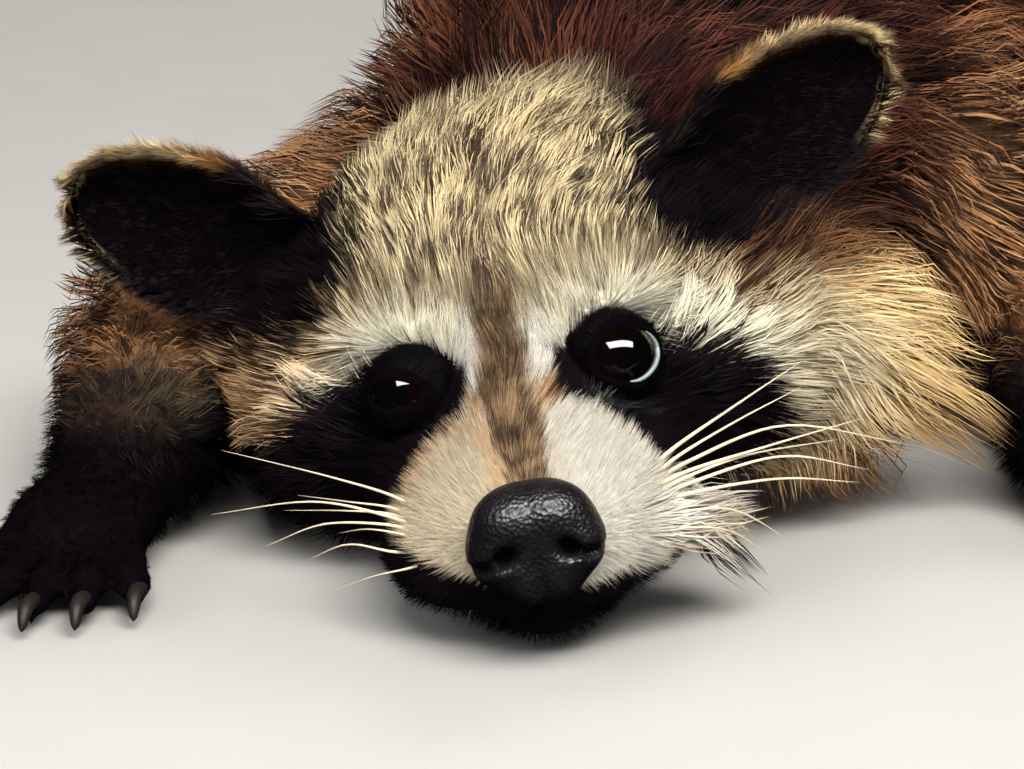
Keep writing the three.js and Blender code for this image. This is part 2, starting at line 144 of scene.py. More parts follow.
def lump(own, centre, radii, turns=(0, 0, 0), coat=0.0):
    """An ellipsoid in a frame."""
    own = own @ frame_at(centre, turns)

    def form(p, bare):
        r = np.maximum(np.array(radii, float) - coat * bare, 1.0)
        q = into(own, p)
        near, steep = length(q / r), length(q / r**2)
        return np.where(steep < 1e-6, -r.min(), near * (near - 1) / np.maximum(steep, 1e-6))

    return form


def limb(own, a, radius_a, b, radius_b, coat_a=0.0, coat_b=None):
    """A tapered round limb from a to b."""
    start, end = out_of(own, a), out_of(own, b)
    along = end - start
    coat_b = coat_a if coat_b is None else coat_b

    def form(p, bare):
        ra, rb = radius_a - coat_a * bare, radius_b - coat_b * bare
        q = p - start
        t = np.clip(q @ along / (along @ along), 0, 1)
        return length(q - t[:, None] * along) - (ra + (rb - ra) * t)

    return form


def joined(width, a, b):
    """Two distances' union, rounded where they meet within a width."""
    h = np.maximum(width - np.abs(a - b), 0) / width
    return np.minimum(a, b) - h * h * width / 4


def blend(width, forms):
    def form(p, bare):
        near = forms[0](p, bare)
        for other in forms[1:]:
            near = joined(width, near, other(p, bare))
        return near

    return form


def sides(make):
    return [make(1), make(-1)]


head_form = blend(12, [
    lump(HEAD, (0, 42, 53), (48, 42, 36), coat=9),
    limb(HEAD, (0, -46, 24), 14, (0, -4, 37), 20, 3),
    limb(HEAD, (0, -43, 12), 12, (0, 25, 20), 24, 3, 6),
    *sides(lambda s: lump(HEAD, (s * 18, -6, 24), (15, 22, 17), coat=4)),
    *sides(lambda s: lump(HEAD, (s * 15, -33, 21), (16, 20, 15), (0, 0, s * 6), coat=3)),
    *sides(lambda s: lump(HEAD, (s * 20, 10, 55), (18, 15, 11), coat=5)),
    blend(24, [
        *sides(lambda s: lump(HEAD, (s * 34, 20, 34), (22, 26, 26), coat=10)),
        lump(HEAD, (-41, 46, 38), (24, 25, 29), (0, -6, -12), coat=15),
        lump(HEAD, (60, 44, 30), (36, 27, 35), (0, 10, 12), coat=20),
    ]),
])
neck_form = limb(WORLD, (3, 76, 48), 42, (34, 142, 66), 62, 15, 20)
head_and_neck = blend(22, [head_form, neck_form])
trunk_form = blend(34, [
    neck_form,
    lump(BODY, (-4, 6, 64), (78, 96, 72), coat=20),
    lump(BODY, (0, 118, 66), (84, 130, 78), coat=22),
    lump(BODY, (0, 222, 66), (82, 98, 79), coat=23),
    limb(BODY, (0, 280, 48), 40, (-5, 345, 34), 24, 20, 14),
])

# Each leg's joints from the trunk to the toes, with the furred radius and the coat's depth at each.
LEGS = {
    "foreleg_right": (WORLD, [((-6, 140, 54), 42, 14), ((-82, 104, 25), 28, 10),
                              ((-88, 30, 18), 19, 5)],
                      dict(at=(-93, 24, 11), aim=8, length=56, width=33, height=23)),
    "foreleg_left": (WORLD, [((84, 132, 56), 42, 14), ((124, 116, 26), 28, 10),
                             ((112, 50, 17), 18, 5)],
                     dict(at=(116, 38, 10), aim=-16, length=52, width=32, height=21)),
    "hindleg_right": (BODY, [((-50, 236, 54), 48, 18), ((-76, 172, 38), 32, 12),
                             ((-92, 262, 17), 16, 5)],
                      dict(at=(-106, 262, 9), aim=-7, length=96, width=31, height=19)),
    "hindleg_left": (BODY, [((50, 236, 54), 48, 18), ((76, 172, 38), 32, 12),
                            ((92, 262, 17), 16, 5)],
                     dict(at=(106, 262, 9), aim=7, length=96, width=31, height=19)),
}
DIGITS = 5
DIGIT_RADIUS = 4.2
CLAW_LENGTH = 10
PAW_COAT = 1.6


def leg_form(name):
    own, joints, _ = LEGS[name]
    return blend(14, [limb(own, a[0], a[1], b[0], b[1], a[2], b[2])
                      for a, b in zip(joints, joints[1:])])


def paw_frame(name):
    own, _, paw = LEGS[name]
    return own @ frame_at(paw["at"], (0, 0, -paw["aim"]))


def digits(name):
    """The joints of each finger and of its claw, in the paw's frame."""
    paw = LEGS[name][2]
    palm, low = paw["length"] * 0.58, DIGIT_RADIUS - paw["at"][2]
    for d in range(DIGITS):
        spread = d / (DIGITS - 1) - 0.5
        reach = paw["length"] * (1 - 0.7 * spread * spread)
        x, splay = spread * paw["width"] * 0.84, spread * 9
        yield ([(x * 0.7, -palm * 0.55, 0), (x + splay * 0.5, -(palm + reach) * 0.52, 1.5 + low),
                (x + splay, -reach, low)],
               [(x + splay, -reach + 2, low + 1),
                (x + splay * 1.15, -reach - CLAW_LENGTH * 0.5, low + 1.2),
                (x + splay * 1.3, -reach - CLAW_LENGTH * 0.9, low - 2.2)])


def paw_form(name):
    own, paw = paw_frame(name), LEGS[name][2]
    palm = paw["length"] * 0.58
    wrist = LEGS[name][1][-1]
    ankle = into(own, out_of(LEGS[name][0], wrist[0]))
    forms = [lump(own, (0, -palm * 0.42, -1), (paw["width"] / 2, palm * 0.66, paw["height"] / 2),
                  coat=PAW_COAT),
             limb(own, ankle, wrist[1], (0, -palm * 0.35, -1), paw["height"] * 0.46, 5, PAW_COAT)]
    for finger, _ in digits(name):
        root, knuckle, tip = finger
        forms.append(blend(2, [limb(own, root, 4.4, knuckle, 4.5, 1.2),
                               limb(own, knuckle, 4.5, tip, 3.6, 1.2, 0.9)]))
    return blend(2.5, forms)


# ---------------------------------------------------------------- the tail

TAIL_PATH = [(0, 316, 38), (-5, 344, 34), (-30, 388, 31), (-84, 416, 29), (-146, 404, 28),
             (-184, 356, 27), (-196, 318, 25)]
TAIL_RADIUS = 33


def centripetal(points, t):
    """A Catmull-Rom curve through the points, at parameters from 0 to 1."""
    points = np.asarray(points, float)
    points = np.vstack([2 * points[0] - points[1], points, 2 * points[-1] - points[-2]])
    span = np.minimum((t * (len(points) - 3)).astype(int), len(points) - 4)
    f = (t * (len(points) - 3) - span)[:, None]
    a, b, c, d = (points[span + i] for i in range(4))
    gaps = [np.maximum(length(q - p), 1e-6)[:, None] ** 0.5 for p, q in ((a, b), (b, c), (c, d))]
    into_b = ((b - a) / gaps[0] - (c - a) / (gaps[0] + gaps[1]) + (c - b) / gaps[1]) * gaps[1]
    into_c = ((c - b) / gaps[1] - (d - b) / (gaps[1] + gaps[2]) + (d - c) / gaps[2]) * gaps[1]
    return (b + into_b * f + (3 * (c - b) - 2 * into_b - into_c) * f**2
            + (2 * (b - c) + into_b + into_c) * f**3)


TAIL_T = np.linspace(0, 1, 90)
TAIL_LINE = centripetal(out_of(BODY, TAIL_PATH), TAIL_T)
TAIL_AHEAD = unit(np.gradient(TAIL_LINE, axis=0))
TAIL_GIRTH = (TAIL_RADIUS * (0.72 + 0.28 * np.sin(np.pi * np.minimum(TAIL_T * 1.15, 0.75)))
              * np.sqrt(np.maximum(1 - np.maximum(0, (TAIL_T - 0.84) / 0.17) ** 2, 0.03)))


def along_tail(p):
    """For each point: how far along the tail it is, 0 to 1, and its distance from the midline."""
    t, off = np.zeros(len(p)), np.full(len(p), 1e9)
    for start in range(0, len(p), 20000):
        q = p[start:start + 20000]
        gaps = length(q[:, None, :] - TAIL_LINE[None])
        best = gaps.argmin(1)
        t[start:start + 20000], off[start:start + 20000] = TAIL_T[best], gaps[np.arange(len(q)), best]
    return t, off


def tail_form(p, bare):
    d = np.full(len(p), 200.0)
    low, high = TAIL_LINE.min(0) - 60, TAIL_LINE.max(0) + 60
    near = ((p > low) & (p < high)).all(1)
    if near.any():
        t, off = along_tail(p[near])
        d[near] = off - np.interp(t, TAIL_T, TAIL_GIRTH) * (1 - 0.56 * bare)
    return d


# ---------------------------------------------------------------- the whole form

PAWS = [name + "_paw" for name in LEGS]
REGIONS = ["head", "neck", "trunk", "tail", *LEGS, *PAWS]
region_forms = {"head": head_form, "neck": neck_form, "trunk": trunk_form, "tail": tail_form}
for name in LEGS:
    region_forms[name] = leg_form(name)
    region_forms[name + "_paw"] = paw_form(name)
FLOOR_COAT = 2.5  # the coat's depth where the body lies on it


def whole_form(p, bare):
    """The body as it would be without the floor that flattens its underside."""
    near = np.minimum(head_and_neck(p, bare), trunk_form(p, bare))
    near = joined(10, near, tail_form(p, bare))
    for name in LEGS:
        limbs = joined(6, region_forms[name](p, bare), region_forms[name + "_paw"](p, bare))
        near = joined(12, near, limbs)
    return near


def body_form(p, bare):
    floor = FLOOR_COAT * bare - p[:, 2]
    return -joined(3, -whole_form(p, bare), -floor)


def slope_of(form, p, bare, step=0.4):
    """How fast a form's distance grows at each point, along x, y and z."""
    slope = np.empty_like(p)
    for axis in range(3):
        reach = np.zeros(3)
        reach[axis] = step
        slope[:, axis] = form(p + reach, bare) - form(p - reach, bare)
    return slope / (2 * step)


# ---------------------------------------------------------------- the skin's mesh


def surface_net(form, low, high, step):
    """The surface where a form is zero, as points near it and quads between them."""
    low, high = np.array(low, float), np.array(high, float)
    count = np.ceil((high - low) / step).astype(int) + 1
    axes = [low[i] + step * np.arange(count[i]) for i in range(3)]
    coarse = 4
    rough_axes = [axis[::coarse] + step * (coarse - 1) / 2 for axis in axes]
    rough = np.stack(np.meshgrid(*rough_axes, indexing="ij"), -1)
    rough_d = form(rough.reshape(-1, 3)).reshape(rough.shape[:3])
    d = rough_d.repeat(coarse, 0).repeat(coarse, 1).repeat(coarse, 2)
    d = d[:count[0], :count[1], :count[2]].copy()
    close = np.abs(d) < step * coarse * 1.6
    grid = np.stack(np.meshgrid(*axes, indexing="ij"), -1)
    d[close] = form(grid[close])
    inside = d < 0

    total = np.zeros([*(np.array(d.shape) - 1), 3])
    crossings = np.zeros(np.array(d.shape) - 1)
    corners = [(i, j, k) for i in (0, 1) for j in (0, 1) for k in (0, 1)]
    cells = d.shape

    def at(values, corner):
        return values[tuple(slice(c, n - 1 + c) for c, n in zip(corner, cells))]

    for a in corners:
        for axis in range(3):
            if a[axis]:
                continue
            b = tuple(1 if i == axis else a[i] for i in range(3))
            da, db = at(d, a), at(d, b)
            cut = at(inside, a) != at(inside, b)
            t = np.where(cut, da / np.where(cut, da - db, 1), 0)
            for i in range(3):
                total[..., i] += np.where(cut, a[i] + (t if i == axis else 0), 0)
            crossings += cut
    used = crossings > 0
    index = np.full(used.shape, -1)
    index[used] = np.arange(used.sum())
    where = np.argwhere(used)
    points = low + step * (where + total[used] / crossings[used][:, None])

    quads = []
    for axis in range(3):
        u, v = (axis + 1) % 3, (axis + 2) % 3
        keep = [slice(1, -1)] * 3
        keep[axis] = slice(0, -1)
        ahead = list(keep)
        ahead[axis] = slice(1, None)
        here, there = inside[tuple(keep)], inside[tuple(ahead)]
        at_edge = np.argwhere(here != there)
        at_edge[:, u] += 1
        at_edge[:, v] += 1
        outward = here[tuple((at_edge - np.eye(3, dtype=int)[u] - np.eye(3, dtype=int)[v]).T)]
        around = []
        for du, dv in ((1, 1), (0, 1), (0, 0), (1, 0)):
            cell = at_edge.copy()
            cell[:, u] -= du
            cell[:, v] -= dv
            around.append(index[tuple(cell.T)])
        quad = np.stack(around, 1)
        quads.append(np.where(outward[:, None], quad, quad[:, ::-1]))
    return points, np.concatenate(quads)


def slid_onto(form, p, passes=2, most=2.0, step=0.4, least=0.05):
    """Points moved onto a form's surface, by no more than `most` in each pass."""
    for _ in range(passes):
        slope = slope_of(lambda q, _: form(q), p, 0, step)
        steep = np.maximum(dots(slope, slope), least)
        p = p - slope * (np.clip(form(p), -most, most) / steep)[:, None]
    return p


JAW_LINE = 8.5
MOUTH_CORNER = -6
EYE_RADIUS = 8.8
NOSE_CENTRE = (0, -58, 26.5)


def box_centre(node):
    low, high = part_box(node)
    return np.array((low + high) / 2) / MM


SHIFT = box_centre("nose") - out_of(HEAD, NOSE_CENTRE)


def eye_centre(side):
    return box_centre("eye_left" if side > 0 else "eye_right") - SHIFT


EYES = {side: eye_centre(side) for side in (1, -1)}


def skin_form(p):
    """The skin, pressed in along the closed mouth."""
    h = into(HEAD, p)
    lips = 2.4 * np.exp(-((h[:, 2] - JAW_LINE - 0.8) / 1.3) ** 2)
    return body_form(p, 1) + lips * ramp(-h[:, 1], -MOUTH_CORNER, -MOUTH_CORNER + 12)


def halved(quads):
    return np.concatenate([quads[:, [0, 1, 2]], quads[:, [0, 2, 3]]])


def ring_faces(rows, columns):
    """Quads between rows of points, each row a closed ring."""
    row, column = np.meshgrid(np.arange(rows - 1), np.arange(columns), indexing="ij")
    here, after = row * columns + column, row * columns + (column + 1) % columns
    return np.stack([here, here + columns, after + columns, after], -1).reshape(-1, 4)


def end_faces(rows, columns):
    """Triangles from the first and the last ring to two points that come after all the rings."""
    here = np.arange(columns)
    after, last, count = (here + 1) % columns, (rows - 1) * columns, rows * columns
    return [np.stack([np.full(columns, count), here, after], 1),
            np.stack([np.full(columns, count + 1), last + after, last + here], 1)]


def split_fine(points, tris, near):
    """Cuts the faces for which near() holds into four, and slides the new points onto the skin."""
    wanted = near(points[tris].mean(1))
    edges = np.sort(tris[:, [0, 1, 1, 2, 2, 0]].reshape(-1, 2), 1)
    keys = edges[:, 0].astype(np.int64) * len(points) + edges[:, 1]
    cut = np.unique(keys[np.repeat(wanted, 3)])
    middle = np.searchsorted(cut, keys)
    middle = np.where(cut[np.minimum(middle, len(cut) - 1)] == keys, middle, -1).reshape(-1, 3)
    new = (points[cut // len(points)] + points[cut % len(points)]) / 2
    middle = np.where(middle >= 0, middle + len(points), -1)
    cuts = (middle >= 0).sum(1)
    out = [tris[cuts == 0]]
    a, m = tris[cuts == 3], middle[cuts == 3]
    out += [np.stack([a[:, 0], m[:, 0], m[:, 2]], 1), np.stack([a[:, 1], m[:, 1], m[:, 0]], 1),
            np.stack([a[:, 2], m[:, 2], m[:, 1]], 1), m]
    for turn in range(3):
        order = [(turn + i) % 3 for i in range(3)]
        a, m = tris[:, order], middle[:, order]
        one = (cuts == 1) & (m[:, 0] >= 0)
        out += [np.stack([a[one, 0], m[one, 0], a[one, 2]], 1),
                np.stack([m[one, 0], a[one, 1], a[one, 2]], 1)]
        two = (cuts == 2) & (m[:, 2] < 0)
        out += [np.stack([a[two, 1], m[two, 1], m[two, 0]], 1),
                np.stack([a[two, 0], m[two, 0], m[two, 1]], 1),
                np.stack([a[two, 0], m[two, 1], a[two, 2]], 1)]
    return np.vstack([points, slid_onto(skin_form, new)]), np.concatenate(out)


# ---------------------------------------------------------------- ears

EAR_LENGTH, EAR_WIDTH, EAR_CUP = 56, 40, 9
EAR_ROOT = np.array((42.0, 50.0, 68.0))
EAR_AIM = unit(np.array((0.9, 0.16, 0.42)))
EAR_ACROSS = unit(np.cross((0.12, -0.95, -0.28), EAR_AIM))
EAR_FACE = np.cross(EAR_AIM, EAR_ACROSS)
EAR_SKIN = 1.3  # half the bare ear's thickness
EAR_INSET = 1.8  # how far the bare ear's edge lies inside the furred one's


def ear_half(t):
    """Half an ear's width, from the root (0) to the tip (1)."""
    tip = np.sqrt(np.maximum(1 - np.maximum(0, (t - 0.35) / 0.66) ** 2.2, 0.02))
    return (EAR_WIDTH / 2) * tip * (0.7 + 0.3 * ramp(t, 0.05, 0.4))


def ear_points(side, t, v, out, inset=0.0):
    """Points of an ear: t along it from root to tip, v across it from -1 to 1, out in front."""
    half = np.maximum(ear_half(t) - inset, 0.4)
    along = (EAR_LENGTH - inset) * (t - 0.12)
    depth = EAR_CUP * (1 - 0.35 * t) * v * v + out
    p = (EAR_ROOT + along[..., None] * EAR_AIM + (v * half)[..., None] * EAR_ACROSS
         + depth[..., None] * EAR_FACE)
    return out_of(HEAD, p * (side, 1, 1))


def ear_shell(side):
    """An ear's bare skin as points, faces, and each point's t, v and front (1) or back (-1)."""
    stations, columns = 30, 20
    t = np.sin(np.pi / 2 * np.linspace(0, 1, stations) ** 0.9)
    v = np.sin(np.pi / 2 * np.linspace(-1, 1, columns))
    around_v = np.concatenate([v, v[::-1]])
    front = np.concatenate([np.ones(columns), -np.ones(columns)])
    tt, vv = np.meshgrid(t, around_v, indexing="ij")
    ff = np.broadcast_to(front, tt.shape)
    edge = 1 - 0.72 * vv**4
    p = ear_points(side, tt, vv, ff * EAR_SKIN * edge * (1 - 0.35 * tt), EAR_INSET)
    quads = ring_faces(stations, 2 * columns)[:, [0, 3, 2, 1] if side < 0 else [1, 2, 3, 0]]
    return p.reshape(-1, 3), halved(quads), np.stack([tt, vv, ff], -1).reshape(-1, 3)


# ---------------------------------------------------------------- eyelids

# Each eye's gaze, in the head's frame, and how wide and high the lids are open.
GAZE = {1: (0.42, -0.86, 0.26), -1: (-0.36, -0.86, 0.26)}
OPENING = {1: (7.2, 5.8), -1: (5.6, 2.8)}
CORNEA_RADIUS, CORNEA_AHEAD = 7.0, 2.4  # a rounder cap, its middle ahead of the eyeball's
# Each ring of the lids: degrees beyond the opening, the least angle from the gaze, and the height
# over the eyeball.
LID_RINGS = [(-1.5, 0, -0.45), (0.0, 0, 0.15), (2.0, 0, 0.45), (5.5, 0, 0.62), (12.0, 0, 0.66),
             (24.0, 60, 0.5), (30.0, 86, 0.3), (36.0, 104, -1.2)]


def eye_axes(side):
    """An eye's own directions: across, up and along its gaze."""
    gaze = unit(turned(HEAD, GAZE[side]))
    across = unit(np.cross(turned(HEAD, (0, 0, 1)), gaze))
    return across, np.cross(gaze, across), gaze


def about_gaze(side, off):
    """The gaze, and for offsets from the eye's middle their part square to it and their bearing."""
    across, up, gaze = eye_axes(side)
    flat = off - dots(off, gaze)[:, None] * gaze
    return gaze, flat, np.arctan2(dots(flat, up), dots(flat, across))


def eye_height(away):
    """The cornea's bulge over the eyeball, at an angle from the gaze."""
    over = (CORNEA_AHEAD * np.cos(away)
            + np.sqrt(CORNEA_RADIUS**2 - (CORNEA_AHEAD * np.sin(away)) ** 2)) - EYE_RADIUS
    over = np.where(np.abs(away) < np.pi / 2, over, -1.0)
    soft = 0.15  # over this depth the bulge fades in
    return soft * np.log1p(np.exp(np.clip(over / soft, -30, 30)))


def opening_angle(side, around):
    """How far from the gaze the lids' edge lies, in radians, at an angle round the eye."""
    wide, high = OPENING[side]
    c, s = np.abs(np.cos(around)), np.abs(np.sin(around))
    reach = ((c / wide) ** 1.75 + (s / high) ** 1.75) ** (-1 / 1.75)
    return np.arcsin(reach / EYE_RADIUS)


def on_eye(side, away, around, height):
    """Points above an eyeball: their angle from its gaze, bearing round it and height over it."""
    across, up, gaze = eye_axes(side)
    flat = np.cos(around)[..., None] * across + np.sin(around)[..., None] * up
    ray = np.cos(away)[..., None] * gaze + np.sin(away)[..., None] * flat
    return EYES[side] + ray * (EYE_RADIUS + height)[..., None]


def lid_shell(side):
    """An eye's lids as points and faces."""
    steps = 72
    around = np.linspace(0, 2 * np.pi, steps, endpoint=False)
    edge = opening_angle(side, around)
    rings = []
    for beyond, least, height in LID_RINGS:
        fold = 0.35 * np.exp(-((beyond - 9) / 4) ** 2) * np.clip(np.sin(around), 0, 1)
        away = np.maximum(edge + np.radians(beyond), np.radians(least))
        rings.append(on_eye(side, away, around, height + fold + eye_height(away)))
    return np.concatenate(rings), halved(ring_faces(len(rings), steps))


# ---------------------------------------------------------------- the lie of the coat

NOSE_TIP = np.array((0.0, -72.0, 30.0))  # in the head's frame: the face's fur runs away from it
LEG_LINES = {name: [out_of(LEGS[name][0], joint[0]) for joint in LEGS[name][1]] for name in LEGS}


def share_of(shares, *names):
    """How much some regions have to say, together, about each point."""
    return sum(shares[:, REGIONS.index(name)] for name in names)


def region_shares(p):
    """How much each region of the body has to say about each point; the shares add up to 1."""
    near = np.stack([region_forms[name](p, 1) for name in REGIONS], 1)
    share = np.exp(-(near - near.min(1, keepdims=True)) / 6)
    return share / share.sum(1, keepdims=True)


def fringe(h):
    """The pointed fringe under the left whisker pad."""
    x, y, z = h.T
    return ramp(x, 15, 24) * ramp(-y, 22, 34) * ramp(z, 16.5, 19.5) * (1 - ramp(z, 22, 31))


def hem(h):
    """The lowest part of the ruffs, whose tufts hang to the floor."""
    x, y, z = h.T
    return ramp(np.abs(x), 36, 50) * (1 - ramp(z, 12, 26)) * ramp(y, 0, 16) * (1 - ramp(y, 34, 50))


def lie_of_coat(p, normal, shares):
    """The way the hair points at each place on the skin."""
    h = into(HEAD, p)
    head = turned(HEAD, unit(h - NOSE_TIP))
    head[:, 2] -= 0.25 * ramp(h[:, 1], -10, 40) * ramp(-normal[:, 2], -0.6, 0.3)
    head[:, 2] -= 0.7 * ramp(h[:, 1], 5, 30) * (1 - ramp(h[:, 2], 15, 55))
    head += turned(HEAD, (1.5, -0.5, -0.3)) * fringe(h)[:, None]
    head += turned(HEAD, (0.3, -1.3, -1.5)) * hem(h)[:, None]
    back = turned(BODY, np.array((0.0, 1.0, 0.0)))
    body_x = into(BODY, p)[:, :1]
    apart = turned(BODY, np.sign(body_x) * 0.25 * ramp(np.abs(body_x), 20, 80) * (1, 0, 0))
    t, _ = along_tail(p)
    on_line = np.clip((t * (len(TAIL_T) - 1)).astype(int), 0, len(TAIL_T) - 1)
    ways = {"head": head, "neck": back + (-0.15, 0, -0.3) + apart,
            "trunk": back + (0, 0, -0.22) + apart, "tail": TAIL_AHEAD[on_line]}
    flow = np.zeros_like(p)
    for i, name in enumerate(REGIONS):
        way = ways.get(name)
        if way is None:
            leg = name.replace("_paw", "")
            upper, elbow, wrist = LEG_LINES[leg]
            if name.endswith("_paw"):
                way = turned(paw_frame(leg), np.array((0.0, -1.0, -0.15)))
            else:
                first = length(p - (upper + elbow) / 2) < length(p - (elbow + wrist) / 2)
                way = np.where(first[:, None], unit(elbow - upper), unit(wrist - elbow))
                way = way * 0.8 + back * 0.35 + (0, 0, -0.25)
        flow += shares[:, i:i + 1] * way
    for side in (1, -1):
        off = p - EYES[side]
        gaze, flat, _ = about_gaze(side, off)
        close = 1 - ramp(length(flat), EYE_RADIUS + 1, EYE_RADIUS + 9)
        close *= dots(off, gaze) > -EYE_RADIUS
        flow = unit(flow) + unit(flat) * (1.6 * close)[:, None]
    flow = unit(flow)
    flow -= normal * dots(flow, normal)[:, None]
    return unit(flow)


# ---------------------------------------------------------------- markings
# A face chart: bearing and height, in degrees, as seen from the middle of the head.

CHART_CENTRE = np.array((0.0, 25.0, 38.0))
MASK = [(9.5, 9), (11.3, 14), (16, 18.5), (23, 23), (29, 24.5), (36, 23.5), (43, 21.5), (50, 17.5),
        (57, 11), (66, 3), (74, -6), (80, -15), (86, -27), (84, -48), (60, -58), (30, -48),
        (14, -30), (8, -20), (12, -10), (17, 1), (11, 5)]
MUZZLE = [(4.4, 1.5), (7, 5), (10, 6.5), (13, 5.5), (17, 2.5), (20, -1), (22, -6), (25.5, -11),
          (25, -16), (20, -18.5), (14, -18.5), (9, -19), (3, -17), (0, -10)]
EAR_PATCH = [(67, 28), (66, 42), (73, 50), (88, 53), (112, 57), (140, 50), (150, 22), (120, 8),
             (100, 10), (84, 14), (74, 21)]


def chart(p):
    v = into(HEAD, p) - CHART_CENTRE
    return np.stack([np.degrees(np.arctan2(v[:, 0], -v[:, 1])),
                     np.degrees(np.arctan2(v[:, 2], np.hypot(v[:, 0], v[:, 1])))], 1)


def outside(outline, q):
    """Distance from each point of the chart to an outline: above 0 outside it, below 0 inside."""
    outline = np.asarray(outline, float)
    best = np.full(len(q), 1e9)
    inside = np.zeros(len(q), bool)
    for a, b in zip(outline, np.roll(outline, -1, 0)):
        t = np.clip((q - a) @ (b - a) / ((b - a) @ (b - a)), 0, 1)
        best = np.minimum(best, length(q - a - t[:, None] * (b - a)))
        crossed = (a[1] > q[:, 1]) != (b[1] > q[:, 1])
        rise = b[1] - a[1] if b[1] != a[1] else 1e-9
        inside ^= crossed & (q[:, 0] < (b[0] - a[0]) * (q[:, 1] - a[1]) / rise + a[0])
    return np.where(inside, -best, best)


BLACK, WHITE, CREAM, TAN, BROWN, SHADED_BARK, GREY = np.array([
    (0.0045, 0.003, 0.0045), (0.66, 0.63, 0.55), (0.92, 0.87, 0.69), (0.68, 0.57, 0.35),
    (0.075, 0.048, 0.033), (0.058, 0.015, 0.012), (0.30, 0.22, 0.14)])


class Tints(dict):
    """The coat's colours at many points: pale and dark hairs, the share of dark, and dark tips."""

    def __init__(self, count):
        super().__init__(pale=np.tile(TAN, (count, 1)), dark=np.tile(BROWN, (count, 1)),
                         share=np.full(count, 0.38), tip=np.full(count, 0.75))

    def over(self, amount, **tones):
        """Lays any of pale, dark, share and tip over what is there, by an amount from 0 to 1."""
        amount = np.clip(amount, 0, 1)
        for name, tone in tones.items():
            by = amount[:, None] if name in ("pale", "dark") else amount
            self[name] = mix(self[name], np.asarray(tone, float), by)


